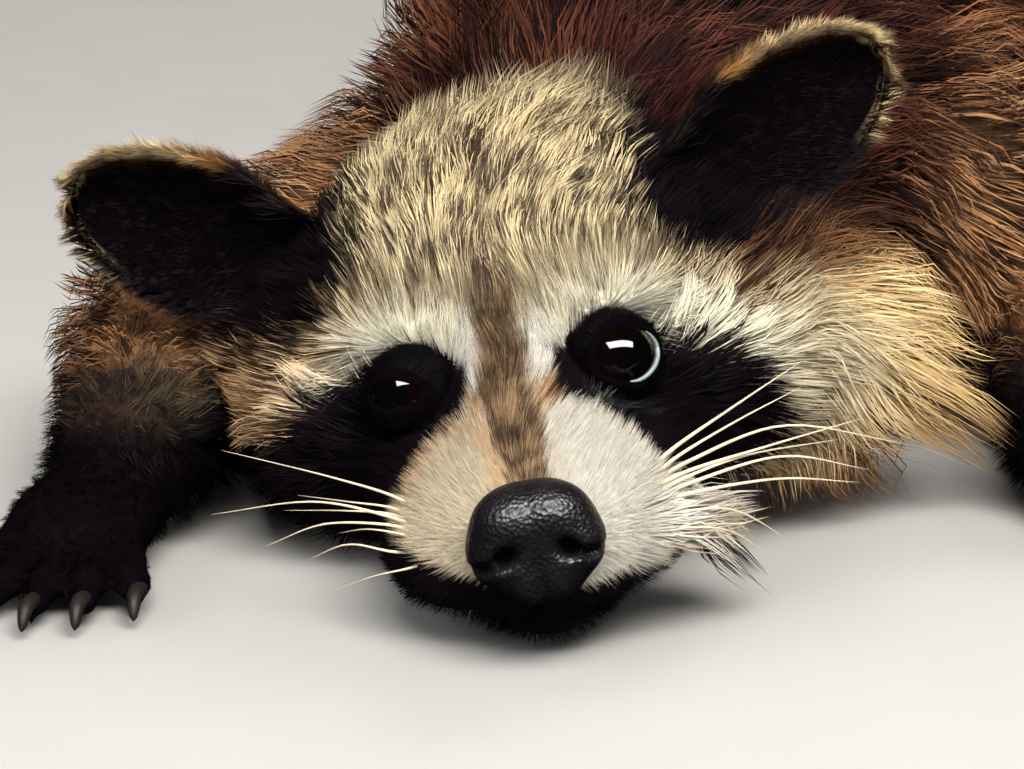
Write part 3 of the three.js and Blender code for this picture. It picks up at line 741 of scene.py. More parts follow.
def paint_head(tint, p):
    (x, y, z), q = into(HEAD, p).T, chart(p)
    wobble = lattice_noise(p, 3, 1) * 1.2 + lattice_noise(p, 11, 2) * 1.6
    bearing, height = np.abs(q[:, 0]), q[:, 1]
    left = ramp(q[:, 0], -8, 8)  # the animal's own left, on the picture's right
    raised = 3 * ramp(bearing, 36, 46) * (1 - left)
    from_mask = outside(MASK, np.stack([bearing, height - raised], 1)) + wobble
    from_muzzle = outside(MUZZLE, np.stack([bearing, height], 1)) + wobble * 0.7
    from_ear = outside(EAR_PATCH, np.stack([bearing - (8 * left - 4), height], 1)) + wobble * 2

    # darker towards the crown and the ears
    tint.over(np.maximum(ramp(height, 40, 75), 1 - ramp(from_ear, 2, 16)), share=0.47,
              pale=TAN * (1.02, 0.98, 0.92))
    # cream above the mask, brightest beside the stripe
    cream = 1 - ramp(from_mask, 5, 19)
    tint.over(cream, pale=CREAM, share=0.0, tip=0.2)
    tint.over(cream * (1 - ramp(bearing, 12, 24)), pale=(0.90, 0.86, 0.76))
    # the ruffs: cream, then rusty towards the neck, and browner low down and by the ears; on the
    # right darker and browner, as painted shade on the side turned from the light
    ruff = ramp(bearing, 66, 88) * (1 - ramp(height, 22, 44))
    ruff_pale = between((0.84, 0.73, 0.50), (0.86, 0.60, 0.27), ramp(y + 6 * wobble, 18, 48))
    ruff_pale = between((0.52, 0.29, 0.115), ruff_pale, left)
    low = 1 - ramp(z + 2 * wobble, 4, 26)
    ruff_pale = between(ruff_pale, (0.44, 0.24, 0.09), low)
    upper = ramp(height + 3 * wobble, 2, 16)
    ruff_pale = between(ruff_pale, (0.50, 0.30, 0.13), 0.8 * upper)
    by_ear = ramp(height + 0.33 * (bearing - 80) + 1.5 * wobble, 8, 15) * left
    ruff_pale = between(ruff_pale, (0.16, 0.07, 0.03), by_ear)
    rear = ramp(y + 6 * wobble, 26, 52)
    tint.over(ruff, pale=ruff_pale, tip=0.6, dark=(0.12, 0.055, 0.025),
              share=mix(0.44, 0.04 + 0.34 * np.maximum(upper, 0.55 * rear) + 0.3 * low, left))

    # the right cheek is browner: painted shade on the side turned from the light
    shaded_cheek = (1 - left) * ramp(bearing + 2 * wobble, 54, 70) * (1 - ramp(height, 22, 44))
    tint.over(0.75 * shaded_cheek, pale=(0.70, 0.44, 0.22), share=0.3)

    # the stripe down the forehead to the nose, widening a little at the nose
    centre = np.interp(height, [-2, 5, 10, 22, 40, 60], [-0.4, -0.6, -2.2, -1.6, -1.4, -1.2])
    half = np.interp(height, [-3, 0, 5, 9, 13, 22, 60], [5.0, 4.8, 6.2, 6.0, 4.6, 4.5, 4.2])
    ragged = wobble * 0.5 + lattice_noise(p, 5, 12) * 1.3
    stripe = 1 - ramp(np.abs(x - centre) + ragged, half - 1.4, half + 1.4)
    stripe *= (1 - 0.8 * ramp(height, 36, 66)) * (y < 45) * (y > -60)
    tint.over(stripe, pale=(0.42, 0.27, 0.15), dark=(0.018, 0.010, 0.008), tip=0.6,
              share=np.clip(0.76 + 0.85 * lattice_noise(p, 2.6, 31), 0.1, 1))
    # a tan saddle parts the brow's white from the muzzle's
    saddle = ramp(height, 4.5, 6.5) * (1 - ramp(height + wobble, 10, 14))
    saddle *= (1 - ramp(bearing, 10, 12.5)) * (y < 0)
    tint.over(saddle * (1 - 0.7 * stripe), pale=(0.54, 0.34, 0.18), dark=(0.10, 0.05, 0.03),
              share=0.42)

    # the muzzle, white on the left and rusty where it meets the mask; tan on the right, as painted
    # shade on the side turned from the light
    white = 1 - ramp(from_muzzle, -0.8, 0.8)
    rusty = ramp(from_muzzle, -4.5, -0.5) * mix(0.85, 0.1, left)
    rusty = np.maximum(rusty, 0.8 * ramp(x, 18, 27) * (1 - ramp(z, 15, 25)))
    muzzle_pale = between(between((0.62, 0.53, 0.38), WHITE, left), (0.66, 0.42, 0.22), rusty)
    tint.over(white, pale=muzzle_pale, share=0.0, tip=0.0)
    # the black mask and eyelids, and a black lip and chin that is partly painted shadow
    masked = (1 - ramp(from_mask, -1.0, 1.0)) * (1 - white)
    lip = np.interp(x, [-27, -23, -20, -17, -12, -4, 4, 10, 18, 28],
                    [30, 26, 23.5, 21.5, 19, 17, 16, 14.5, 15, 16])
    chin = (1 - ramp(z - lip + wobble * 0.5, -0.8, 0.8)) * (1 - ramp(y, -30, -18))
    # black and pale hairs mingle round the ears' black patches
    tint.over(1 - ramp(from_ear, -4, 7), dark=BLACK, share=0.8)
    patch = 1 - ramp(from_ear, -8, -2)
    # painted shadow: black low on the right cheek, where shade falls beneath it
    cheek_shadow = (1 - left) * (1 - ramp(height + wobble, -4, 1)) * ramp(bearing, 40, 60)
    from_eye = np.minimum(length(p - EYES[1]), length(p - EYES[-1]))
    black = np.maximum.reduce([masked, chin, patch, cheek_shadow,
                               1 - ramp(from_eye, EYE_RADIUS + 1.6, EYE_RADIUS + 2.8)])
    tint.over(black, pale=BLACK * 1.8, dark=BLACK, share=0.6, tip=0.0)
    # painted glints: pale bluish hairs under the left eye, where its wet fur catches the light
    wet_glints = (q[:, 0] - 27) / 8, (height - 1.5 + 0.6 * (q[:, 0] - 27)) / 2.5
    wet_glints = (1 - ramp(np.hypot(*wet_glints), 0.5, 1.2)) * masked
    tint.over(wet_glints * 0.7, pale=(0.20, 0.23, 0.22), share=0.7)
    throat = ramp(y, 5, 30) * (1 - ramp(z, 4, 12)) * (1 - ramp(np.abs(x), 32, 46))
    tint.over(throat, pale=GREY, dark=BROWN, share=0.4)


def paint_body(tint, p, shares):
    body = ramp(1 - share_of(shares, "head"), 0.35, 0.75)
    low = 1 - ramp(p[:, 2], 20, 70)
    patchy = ramp(lattice_noise(p, 20, 3), -0.6, 0.7)
    # dark reddish browns: the coat's own grizzled tone, deepened as painted shade where the body lies
    # behind the head
    pale = between(between(SHADED_BARK, (0.14, 0.048, 0.022), patchy), GREY, 0.6 * low)
    h = into(HEAD, p)
    nape = 1 - ramp(length(h - (0, 30, 40)) + 8 * patchy, 66, 98)
    nape *= 1 - ramp(h[:, 0], -30, -5)
    tint.over(body, pale=between(pale, (0.56, 0.45, 0.28), nape), dark=(0.014, 0.006, 0.006), tip=0.8,
              share=0.5 + 0.16 * lattice_noise(p, 17, 4) - 0.14 * low + 0.08 * nape)
    legs, paws = share_of(shares, *LEGS), share_of(shares, *PAWS)
    sooty = np.clip(paws * 1.4 + legs * (1 - ramp(p[:, 2], 16, 34)), 0, 1)
    tint.over(legs * (1 - sooty), pale=(0.44, 0.22, 0.10))
    tint.over(sooty, pale=BLACK * 1.2, dark=BLACK, share=0.8, tip=0.2)
    t, _ = along_tail(p)
    on_tail = share_of(shares, "tail")
    along = (t - 0.1) / 0.9 * 6.5 + 0.05 * lattice_noise(p, 8, 8)
    ring = ramp(np.sin(2 * np.pi * along), -0.15, 0.35) * (t > 0.08)
    ring = np.maximum(ring, t > 0.93)
    tint.over(on_tail * (1 - ring), pale=(0.50, 0.37, 0.22))
    tint.over(on_tail, dark=BLACK * 1.8, share=mix(0.22, 0.95, ring))


def from_ear_edge(ear):
    """How far an ear's point is from the ear's edge, in millimetres."""
    t, v, _ = ear.T
    return np.minimum((1 - np.abs(v)) * ear_half(np.clip(t, 0, 1)), (1 - t) * EAR_LENGTH * 1.2)


def paint_ears(tint, ear, wobble):
    """Black inside, cream along the upper edge and round the tip, grizzled behind."""
    t, v, front = ear.T
    is_ear = (t > -0.5).astype(float)
    upper = ramp(v, -0.3, 0.3)
    width = np.where(front > 0, mix(1.0, 2.6, upper), mix(2.0, 5.5, upper)) + 0.5 * wobble
    rim = (1 - ramp(from_ear_edge(ear) - width, -0.6, 0.6)) * ramp(t, 0.3, 0.4)
    rim *= np.maximum(upper, ramp(t, 0.68, 0.88))
    rim_tone = between((0.62, 0.31, 0.11), (0.94, 0.69, 0.39), ramp(t, 0.42, 0.62))
    back = is_ear * (front < 0)
    tint.over(is_ear, pale=BLACK * 2.5, dark=BLACK, share=0.6, tip=0.0)
    lining = (1 - ramp(from_ear_edge(ear), 3, 7)) * ramp(v, 0.2, 0.5) * (1 - back)
    tint.over(is_ear * lining * ramp(t, 0.3, 0.4), pale=(0.22, 0.11, 0.045), share=0.72)
    tint.over(back, pale=between(BROWN, TAN, ramp(t, 0.25, 0.8)), share=0.5, tip=0.4)
    tint.over(is_ear * rim, pale=rim_tone, share=0.12, tip=0.15, dark=(0.2, 0.1, 0.05))


def paint(p, shares, ear):
    tint = Tints(len(p))
    paint_head(tint, p)
    paint_body(tint, p, shares)
    if (ear[:, 0] > -0.5).any():
        paint_ears(tint, ear, lattice_noise(p, 4, 11))
    return tint["pale"], tint["dark"], np.clip(tint["share"], 0, 1), np.clip(tint["tip"], 0, 1)


# ---------------------------------------------------------------- distance maps
# Both surfaces' distances on one grid, so that many hairs can be laid between them quickly.


class DistanceMap:
    def __init__(self, form, low, high, step):
        self.low, self.step = np.array(low, float), step
        axes = [np.arange(low[i], high[i] + step, step) for i in range(3)]
        grid = np.stack(np.meshgrid(*axes, indexing="ij"), -1)
        values = np.concatenate([form(part) for part in np.array_split(grid.reshape(-1, 3), 12)])
        values = values.reshape(grid.shape[:3])
        slopes = [np.gradient(values, step, axis=i) for i in range(3)]
        self.table = np.stack([values, *slopes], -1).astype(np.float32)

    def at(self, p):
        """Distance and unit slope at each point."""
        q = (p - self.low) / self.step
        top = np.array(self.table.shape[:3]) - 2
        cell = np.clip(np.floor(q).astype(int), 0, top)
        f = np.clip(q - cell, 0, 1)
        out = np.zeros((len(p), 4))
        for corner in range(8):
            step = np.array([corner & 1, corner >> 1 & 1, corner >> 2 & 1])
            weight = np.where(step, f, 1 - f).prod(1)
            out += weight[:, None] * self.table[tuple((cell + step).T)]
        return out[:, 0], unit(out[:, 1:])


# Without the flat underside, so that the coat is as thick there as elsewhere.
MAP_LOW, MAP_HIGH, MAP_STEP = (-150, -95, -12), (320, 632, 176), 4.5
skin_map = DistanceMap(lambda p: whole_form(p, 1), MAP_LOW, MAP_HIGH, MAP_STEP)
coat_map = DistanceMap(lambda p: whole_form(p, 0), MAP_LOW, MAP_HIGH, MAP_STEP)

# ---------------------------------------------------------------- the skin, all in one

FINE_BEFORE = 24  # how far back on the head the skin's faces are halved in size
BODY_KIND, EAR_KIND, LID_KIND = 0, 1, 2
points, quads = surface_net(skin_form, (-130, -75, 0), (300, 612, 156), 3.0)
points = slid_onto(skin_form, points)
points, tris = split_fine(points, halved(quads), lambda p: into(HEAD, p)[:, 1] < FINE_BEFORE)
ear_of = [np.full((len(points), 3), -1.0)]
kinds = [np.zeros(len(points), int)]
for side in (1, -1):
    for (p, f, *more), kind in ((ear_shell(side), EAR_KIND), (lid_shell(side), LID_KIND)):
        tris = np.concatenate([tris, f + len(points)])
        points = np.vstack([points, p])
        ear_of.append(more[0] if more else np.full((len(p), 3), -1.0))
        kinds.append(np.full(len(p), kind))
ear_of, kinds = np.concatenate(ear_of), np.concatenate(kinds)


def normals_of(points, tris):
    a, b, c = (points[tris[:, i]] for i in range(3))
    faces = np.cross(b - a, c - a)
    total = np.zeros_like(points)
    for i in range(3):
        np.add.at(total, tris[:, i], faces)
    return unit(total), length(faces) / 2


normals, areas = normals_of(points, tris)
shares = region_shares(points)
flows = lie_of_coat(points, normals, shares)
for side in (1, -1):
    ear = (kinds == EAR_KIND) & (np.sign(into(HEAD, points)[:, 0]) == side)
    t, v, front = ear_of[ear].T
    aim = turned(HEAD, EAR_AIM * (side, 1, 1))
    across = turned(HEAD, EAR_ACROSS * (side, 1, 1))
    outward = aim * (0.6 + 0.4 * t)[:, None] + across * (v * 0.6)[:, None]
    flows[ear] = unit(outward - normals[ear] * dots(outward, normals[ear])[:, None])
skin_gap = skin_map.at(points)[0]
depths = np.clip(skin_gap - coat_map.at(points)[0], 0.5, 40)
depths[kinds == EAR_KIND] = 1.5
depths[kinds == LID_KIND] = 0.5


def mesh_object(name, points, faces):
    """A mesh from points in millimetres and one or more arrays of faces, each of one kind."""
    mesh = bpy.data.meshes.new(name)
    mesh.vertices.add(len(points))
    mesh.vertices.foreach_set("co", ((points + SHIFT) * MM).astype(np.float32).ravel())
    groups = faces if isinstance(faces, list) else [faces]
    loops = np.concatenate([g.ravel() for g in groups])
    sizes = np.concatenate([np.full(len(g), g.shape[1]) for g in groups])
    mesh.loops.add(len(loops))
    mesh.loops.foreach_set("vertex_index", loops.astype(np.int32))
    mesh.polygons.add(len(sizes))
    mesh.polygons.foreach_set("loop_start", (np.cumsum(sizes) - sizes).astype(np.int32))
    mesh.update(calc_edges=True)
    mesh.shade_smooth()
    made = bpy.data.objects.new(name, mesh)
    bpy.context.scene.collection.objects.link(made)
    return made


def set_colours(made, colours, name="Coat"):
    """Colours at a mesh's points, as a layer that its material reads by name."""
    layer = made.data.color_attributes.new(name, "FLOAT_COLOR", "POINT")
    rgba = np.ones((len(colours), 4), np.float32)
    rgba[:, :3] = colours
    layer.data.foreach_set("color", rgba.ravel())


def unwrap(made):
    """Gives a mesh of triangles its OFBake map, and returns the map at each triangle's corners."""
    bpy.ops.object.select_all(action="DESELECT")
    made.select_set(True)
    bpy.context.view_layer.objects.active = made
    bpy.ops.object.mode_set(mode="EDIT")
    bpy.ops.mesh.select_all(action="SELECT")
    bpy.ops.uv.smart_project(angle_limit=1.15, island_margin=0.002)
    bpy.ops.object.mode_set(mode="OBJECT")
    made.data.uv_layers[0].name = "OFBake"
    uv = np.zeros(len(made.data.loops) * 2, np.float32)
    made.data.uv_layers[0].data.foreach_get("uv", uv)
    return uv.reshape(-1, 3, 2)


pale, dark, dark_share, _ = paint(points, shares, ear_of)
# the skin shows the coat's mixed tone, darkened as painted shade between the hairs, and darker still
# on the ears
under = mix(pale, dark, dark_share[:, None]) * 0.85
under[kinds == LID_KIND] = BLACK * 0.6
under[kinds == EAR_KIND] *= 0.4
skin = mesh_object("skin", points, tris)
set_colours(skin, under)
skin_uv = unwrap(skin)

# ---------------------------------------------------------------- hairs


PLACES = 4  # worked out along each hair, from root to tip
LOCK_REACH = 9  # how far from its lock's leader a hair can be
SHORT_HAIR, MIDDLING_HAIR = 11, 21  # lengths above which a hair bends once, and twice
PATCH = 0.003  # each hair's size on the OFBake map
SOFTNESS = 0.62  # how much a hair is shaded as part of the coat rather than as a rod


def pick_roots(count, density):
    """Random places on the skin, thicker where density is higher, as face and weights."""
    weight = areas * density[tris].mean(1)
    reach = np.cumsum(weight)
    spots = (np.arange(count) + rng.random(count)) / count * reach[-1]
    face = np.searchsorted(reach, spots)
    a, b = rng.random(count), rng.random(count)
    over = a + b > 1
    a, b = np.where(over, 1 - a, a), np.where(over, 1 - b, b)
    return face, np.stack([1 - a - b, a, b], 1)


def drawn(values, face, weights):
    """A value of the skin's points, at places on its faces."""
    return (values[tris[face]] * weights[:, :, None]).sum(1) if values.ndim > 1 else (
        (values[tris[face]] * weights).sum(1))


def clear_of_eyes(p):
    """Points moved out of the eyes and of the lids' opening."""
    for side in (1, -1):
        off = p - EYES[side]
        far = length(off)
        near = far < EYE_RADIUS + 9
        if not near.any():
            continue
        o, r = off[near], far[near]
        gaze, _, around = about_gaze(side, o)
        away = np.arccos(np.clip(dots(o, gaze) / r, -1, 1))
        away = np.maximum(away, opening_angle(side, around) + np.radians(2.5))
        r = np.maximum(r, EYE_RADIUS + 1.4)
        p[near] = on_eye(side, away, around, r - EYE_RADIUS)
    return p


def hair_mesh(name, paths, wide, sides_way, colours, uv):
    """Joined three-sided hairs: paths (n, rings, 3), the last ring being the tip."""
    n, rings = paths.shape[:2]
    thick = {2: (1.0,), 3: (0.75, 1.0), 4: (0.7, 1.0, 0.75)}[rings]
    ahead = unit(np.gradient(paths, axis=1))
    across = unit(np.cross(ahead, sides_way[:, None, :]))
    up = np.cross(across, ahead)
    corners = []
    for turn in (90, 210, 330):
        c, s = math.cos(math.radians(turn)), math.sin(math.radians(turn))
        corners.append(across * c + up * (s * 0.6))
    body = rings - 1
    ring = np.stack([paths[:, :body] + corner[:, :body] * (np.array(thick) / 2)[None, :, None]
                     * wide[:, None, None] for corner in corners], 2)
    per = body * 3 + 1
    p = np.concatenate([ring.reshape(n, -1, 3), paths[:, -1:]], 1).reshape(-1, 3)
    first = (np.arange(n) * per)[:, None, None]
    side = np.arange(3)
    after = (side + 1) % 3
    quads = [np.zeros((0, 4), int)]
    for r in range(body - 1):
        quads.append(np.stack([r * 3 + side, (r + 1) * 3 + side, (r + 1) * 3 + after,
                               r * 3 + after], 1))
    quads = (first + np.concatenate(quads)[None]).reshape(-1, 4)
    end = (body - 1) * 3
    caps = np.stack([end + after, end + side, np.full(3, per - 1)], 1)
    caps = (first + caps[None]).reshape(-1, 3)
    made = mesh_object(name, p, [quads, caps])
    tints = np.concatenate([np.repeat(colours[:, :body], 3, 1), colours[:, -1:]], 1)
    set_colours(made, tints.reshape(-1, 3))
    # every hair is shaded partly as itself and partly as the coat it belongs to
    own = np.concatenate([np.stack([corner[:, :body] for corner in corners], 2).reshape(n, -1, 3),
                          up[:, -1:]], 1)
    soft = unit(unit(own) * (1 - SOFTNESS) + sides_way[:, None] * SOFTNESS).reshape(-1, 3)
    made.data.normals_split_custom_set_from_vertices(soft.tolist())

    u = (np.array([0, 0, 1, 1]) + side[:, None]) / 3 - 0.5
    quad_uv = [np.zeros((0, 4, 2))]
    for r in range(body - 1):
        v = np.array([r, r + 1, r + 1, r]) / body - 0.5
        quad_uv.append(np.stack([u, np.broadcast_to(v, u.shape)], -1))
    quad_uv = np.concatenate(quad_uv)
    u = np.stack([(side + 1) / 3 - 0.5, side / 3 - 0.5, (side + 0.5) / 3 - 0.5], 1)
    v = np.array([body - 1, body - 1, body]) / body - 0.5
    cap_uv = np.stack([u, np.broadcast_to(v, u.shape)], -1)
    root = uv[:, None, None]
    loops = np.concatenate([(root + quad_uv * PATCH).reshape(-1, 2),
                            (root + cap_uv * PATCH).reshape(-1, 2)])
    layer = made.data.uv_layers.new(name="OFBake")
    layer.data.foreach_set("uv", np.clip(loops, 0, 1).astype(np.float32).ravel())
    return made


def grow(count, density):
    """Hairs over the skin. Returns their paths and all that a mesh of them needs."""
    face, weights = pick_roots(count, density)
    root = drawn(points, face, weights)
    normal = unit(drawn(normals, face, weights))
    flow = drawn(flows, face, weights)
    depth = drawn(depths, face, weights)
    part = drawn(shares, face, weights)
    kind = kinds[tris[face, 0]]
    ear = drawn(ear_of, face, weights)
    uv = (skin_uv[face] * weights[:, :, None]).sum(1)
    on_ear = kind == EAR_KIND
    apart_from_body = kind != BODY_KIND

    long, wide, clump, pull, rise, stray, free = coat_settings(root, depth, part, ear, kind)
    free = free * rng.uniform(0.5, 1, count)
    long = long * rng.uniform(0.72, 1.18, count)
    wide = wide * rng.uniform(0.75, 1.25, count)
    across = np.cross(normal, flow)
    wave = (lattice_noise(root, 9, 5) * 0.5 + lattice_noise(root, 26, 6) * 0.6) * stray
    sway = wave + rng.normal(0, 0.16, count) * stray
    flow = unit(flow + across * sway[:, None])
    lift = rise * rng.uniform(0.25, 1.08, count) ** 0.8

    path = [root - normal * 0.5]
    slope = np.clip(depth * lift / np.maximum(long, 1), 0, 0.8)
    for i in range(1, PLACES):
        t = i / (PLACES - 1)
        step = long / (PLACES - 1)
        steep = mix(slope * (1.7 - 0.9 * t), 0.72, free)
        ahead = unit(flow * np.sqrt(np.maximum(1 - steep**2, 0.1))[:, None] + normal * steep[:, None])
        nxt = path[-1] + ahead * step[:, None]
        gap, out = skin_map.at(nxt)
        room = gap - coat_map.at(nxt)[0]
        want = lift * np.clip(room, 0.5, 40) * (0.35 + 0.65 * t) + 0.15
        held = np.where(apart_from_body, 0, np.clip(want - gap, -12, 12) * 0.85)
        nxt = nxt + out * (held * (1 - free))[:, None] - (0, 0, 1) * (free * long * 0.07 * t)[:, None]
        path.append(nxt)
    path = np.stack(path, 1)

    # neighbouring hairs draw together into locks
    leader = np.flatnonzero(rng.random(count) < np.clip(1 / np.maximum(clump, 1), 0, 1))
    tree = KDTree(len(leader))
    for i, j in enumerate(leader):
        tree.insert(root[j], i)
    tree.balance()
    mine = leader[np.array([tree.find(p)[1] for p in root])]
    apart = length(root - root[mine])
    for i in range(1, PLACES):
        t = i / (PLACES - 1)
        goal = path[mine, i] + (root - root[mine]) * 0.22
        amount = pull * t**1.4 * (apart < LOCK_REACH) * (on_ear == on_ear[mine])
        path[:, i] = mix(path[:, i], goal, amount[:, None])
    for i in range(1, PLACES):
        path[:, i] = clear_of_eyes(path[:, i])
    path[..., 2] = np.maximum(path[..., 2], 0.5 + 0.7 * rng.random(count)[:, None])

    seen = np.where((long > MIDDLING_HAIR)[:, None], path[:, -2], (path[:, 1] + path[:, -1]) / 2)
    seen += flow * (rng.normal(0, 0.14, count) * long * (depth > 4))[:, None]
    pad = ramp(np.abs(into(HEAD, root)[:, 0]), 12, 20) * ramp(-into(HEAD, root)[:, 1], 15, 30)
    seen = root + (seen - root) * (rng.uniform(0.25, 1.0, count) * (1 - 0.75 * pad))[:, None]
    seen_pale, seen_dark, share, tip = paint(np.where(on_ear[:, None], root, seen), part,
                                             np.where(on_ear[:, None], ear, -1.0))
    on_lid = kind == LID_KIND
    seen_pale[on_lid], seen_dark[on_lid] = BLACK, BLACK * 0.6
    lock = rng.random(count)[mine]
    patches = ramp(lattice_noise(seen, 1.7, 7), -0.45, 0.45)
    fleck = patches * 0.36 + lock * 0.38 + rng.random(count) * 0.26
    is_dark = fleck < 0.16 + share * 0.68 - 0.2 * (share < 0.02)
    own = np.where(is_dark[:, None], seen_dark, seen_pale)
    on_body = 1 - share_of(part, "head")
    own = own * (rng.uniform(0.82, 1.06, count) + (0.26 + 0.5 * on_body) * (lock - 0.5)
                 + 0.08 * lattice_noise(seen, 6, 9))[:, None]
    own = own * (1 + rng.normal(0, 0.025, (count, 3)))
    other = mix(seen_dark, seen_pale, 0.4)
    tipped = rng.random(count) < tip
    end = np.where(tipped[:, None], mix(own, seen_dark, 0.8), own)
    end = np.where((is_dark & tipped)[:, None], mix(seen_dark, seen_pale, 0.3), end)
    # each hair's root takes some of the coat's mixed tone and is darkened as painted shade deep in
    # the coat
    shaded_root = mix(own, other, 0.35) * 0.78
    colours = np.clip(np.stack([shaded_root, own, own, end], 1), 0.001, 0.95)
    return dict(path=path, wide=wide, normal=normal, colours=colours, uv=uv, part=part,
                on_ear=on_ear, long=long, root=root)


def on_head(shares):
    return ramp(share_of(shares, "head"), 0.3, 0.7)


def on_paws(shares):
    return np.clip(1.4 * share_of(shares, *PAWS), 0, 1)


def coat_settings(root, depth, part, ear, kind):
    """Each hair's length and width, how many make a lock, how tightly, its rise and its sway."""
    h = into(HEAD, root)
    x, y, z = h.T
    head, paws, tail = on_head(part), on_paws(part), share_of(part, "tail")
    long = mix(1.5 * depth + 3, 1.4 * depth + 1.6, head)
    by_nose = 1 - ramp(length(h - NOSE_CENTRE), 15, 34)
    long = mix(long, 3.0, by_nose)
    crown = head * ramp(z, 66, 86) * ramp(y, 5, 40)
    tufted = ramp(lattice_noise(root, 6, 21), -0.1, 0.25)
    free = np.maximum(0.5 * crown * (rng.random(len(h)) < 0.5), 0.75 * fringe(h))
    free = np.maximum(free, 0.55 * head * hem(h) * tufted)
    long += 4 * ramp(np.abs(x), 14, 24) * ramp(-y, 15, 30) * (1 - ramp(z, 22, 34))
    long += fringe(h) * (4 + 22 * ramp(lattice_noise(root, 4, 22), -0.2, 0.3))
    long += 9 * crown
    long += head * hem(h) * (4 + 12 * tufted)
    long += 8 * head * ramp(x, 40, 70) * (1 - ramp(z, 18, 50))
    long = mix(long, 3.6, paws)
    long = mix(long, 1.15 * depth + 8, tail)
    t, v, front = ear.T
    ear_long = np.where(front > 0, 3.2, 5.0) + 2.2 * (1 - ramp(from_ear_edge(ear), 1, 3.5))
    ear_long += 6 * (front > 0) * (1 - ramp(t, 0.2, 0.5)) * (v > 0)
    on_ear, on_lid = kind == EAR_KIND, kind == LID_KIND
    long = np.where(on_ear, ear_long, np.where(on_lid, 3.0, long))
    wide = mix(np.interp(long, [10, 35], [0.30, 0.44]),
               np.interp(long, [3, 8, 16, 32], [0.17, 0.21, 0.26, 0.34]), head)
    wide = mix(wide, 0.28, paws)
    wide = np.where(on_ear, 0.26, np.where(on_lid, 0.2, wide))
    clump = mix(18.0, np.interp(long, [4, 8, 14, 30], [6, 16, 34, 40]), head)
    pull = mix(0.62, np.interp(long, [4, 8, 14, 30], [0.3, 0.48, 0.58, 0.64]), head)
    rise = mix(1.08, np.interp(long, [4, 12, 30], [0.9, 1.02, 1.1]), head)
    rise += 0.5 * crown
    rise = np.where(on_ear, 0.9, rise)
    stray = np.interp(long, [4, 12, 30], [0.6, 1.0, 1.5]) + 1.6 * crown
    return long, wide, clump, pull, rise, stray, free


def hair_density():
    """How many hairs grow on each square millimetre at each point of the skin."""
    h = into(HEAD, points)
    head, paws = on_head(shares), on_paws(shares)
    body = 0.44 + 0.6 * share_of(shares, "neck")
    dense = mix(body, np.interp(depths, [3, 5, 9, 13, 20], [7.2, 6.2, 4.0, 2.1, 1.55]), head)
    dense = mix(dense, 1.8, paws)
    below = ramp(-normals[:, 2], 0.55, 0.9) * (1 - ramp(points[:, 2], 4, 16))
    hanging = hem(h) * head
    dense *= np.maximum(mix(1.0, 0.15, below) * mix(1.0, 0.4, ramp(-normals[:, 2], 0.3, 0.8)),
                        hanging)
    dense[kinds == LID_KIND] = 9
    dense[kinds == EAR_KIND] = 3.8
    dense[(kinds == EAR_KIND) & (ear_of[:, 2] < 0)] = 2.6
    dense[(kinds == EAR_KIND) & (from_ear_edge(ear_of) < 3)] = 8
    nose = length((h - NOSE_CENTRE) / (13.0, 10.8, 12.0)) < 1
    dense[nose] = 0
    mouth = np.abs(h[:, 2] - JAW_LINE - 0.8) < 1.0
    dense[mouth & (h[:, 1] < MOUTH_CORNER)] = 0
    for side in (1, -1):
        off = points - EYES[side]
        gaze, _, around = about_gaze(side, off)
        away = np.arccos(np.clip(dots(unit(off), gaze), -1, 1))
        beyond = np.degrees(away - opening_angle(side, around))
        close = length(off) < EYE_RADIUS + 4
        dense[close & (beyond < 3)] = 0
        dense[(kinds == BODY_KIND) & (length(off) < EYE_RADIUS + 0.8)] = 0
    return dense


density = hair_density() * QUICK_SHARE
HAIRS = int((areas * density[tris].mean(1)).sum())
hairs = grow(HAIRS, density)
PIECE_LIMIT = 190000  # triangles
CUTS = {2: (0, 3), 3: (0, 2, 3), 4: (0, 1, 2, 3)}  # which of a path's places a hair's rings take
main = np.array(REGIONS)[hairs["part"].argmax(1)]
groups = {name: (main == name) & ~hairs["on_ear"] for name in ("head", "neck", "trunk", "tail")}
groups["legs"] = np.isin(main, [*LEGS, *PAWS]) & ~hairs["on_ear"]
groups["ears"] = hairs["on_ear"]
SLOTS = {"head": "coat_head", "ears": "coat_head", "legs": "coat_dark", "tail": "coat_tail"}
on_face = share_of(hairs["part"], "head") > 0.4
bent = (hairs["long"] > SHORT_HAIR) | (main == "tail")
rings = 2 + bent + ((hairs["long"] > MIDDLING_HAIR) & on_face)
coat_pieces = []
for label, chosen in groups.items():
    for count, places in CUTS.items():
        which = np.flatnonzero(chosen & (rings == count))
        if not len(which):
            continue
        triangles = len(which) * (6 * count - 9)
        order = which[np.argsort(hairs["root"][which, 1], kind="stable")]
        for k, some in enumerate(np.array_split(order, -(-triangles // PIECE_LIMIT))):
            piece = hair_mesh(f"coat_{label}_{count - 1}_{k + 1}", hairs["path"][some][:, places],
                              hairs["wide"][some], hairs["normal"][some],
                              hairs["colours"][some][:, places], hairs["uv"][some])
            coat_pieces.append((piece, SLOTS.get(label, "coat_grizzled")))

# ---------------------------------------------------------------- nose, eyes, claws, whiskers


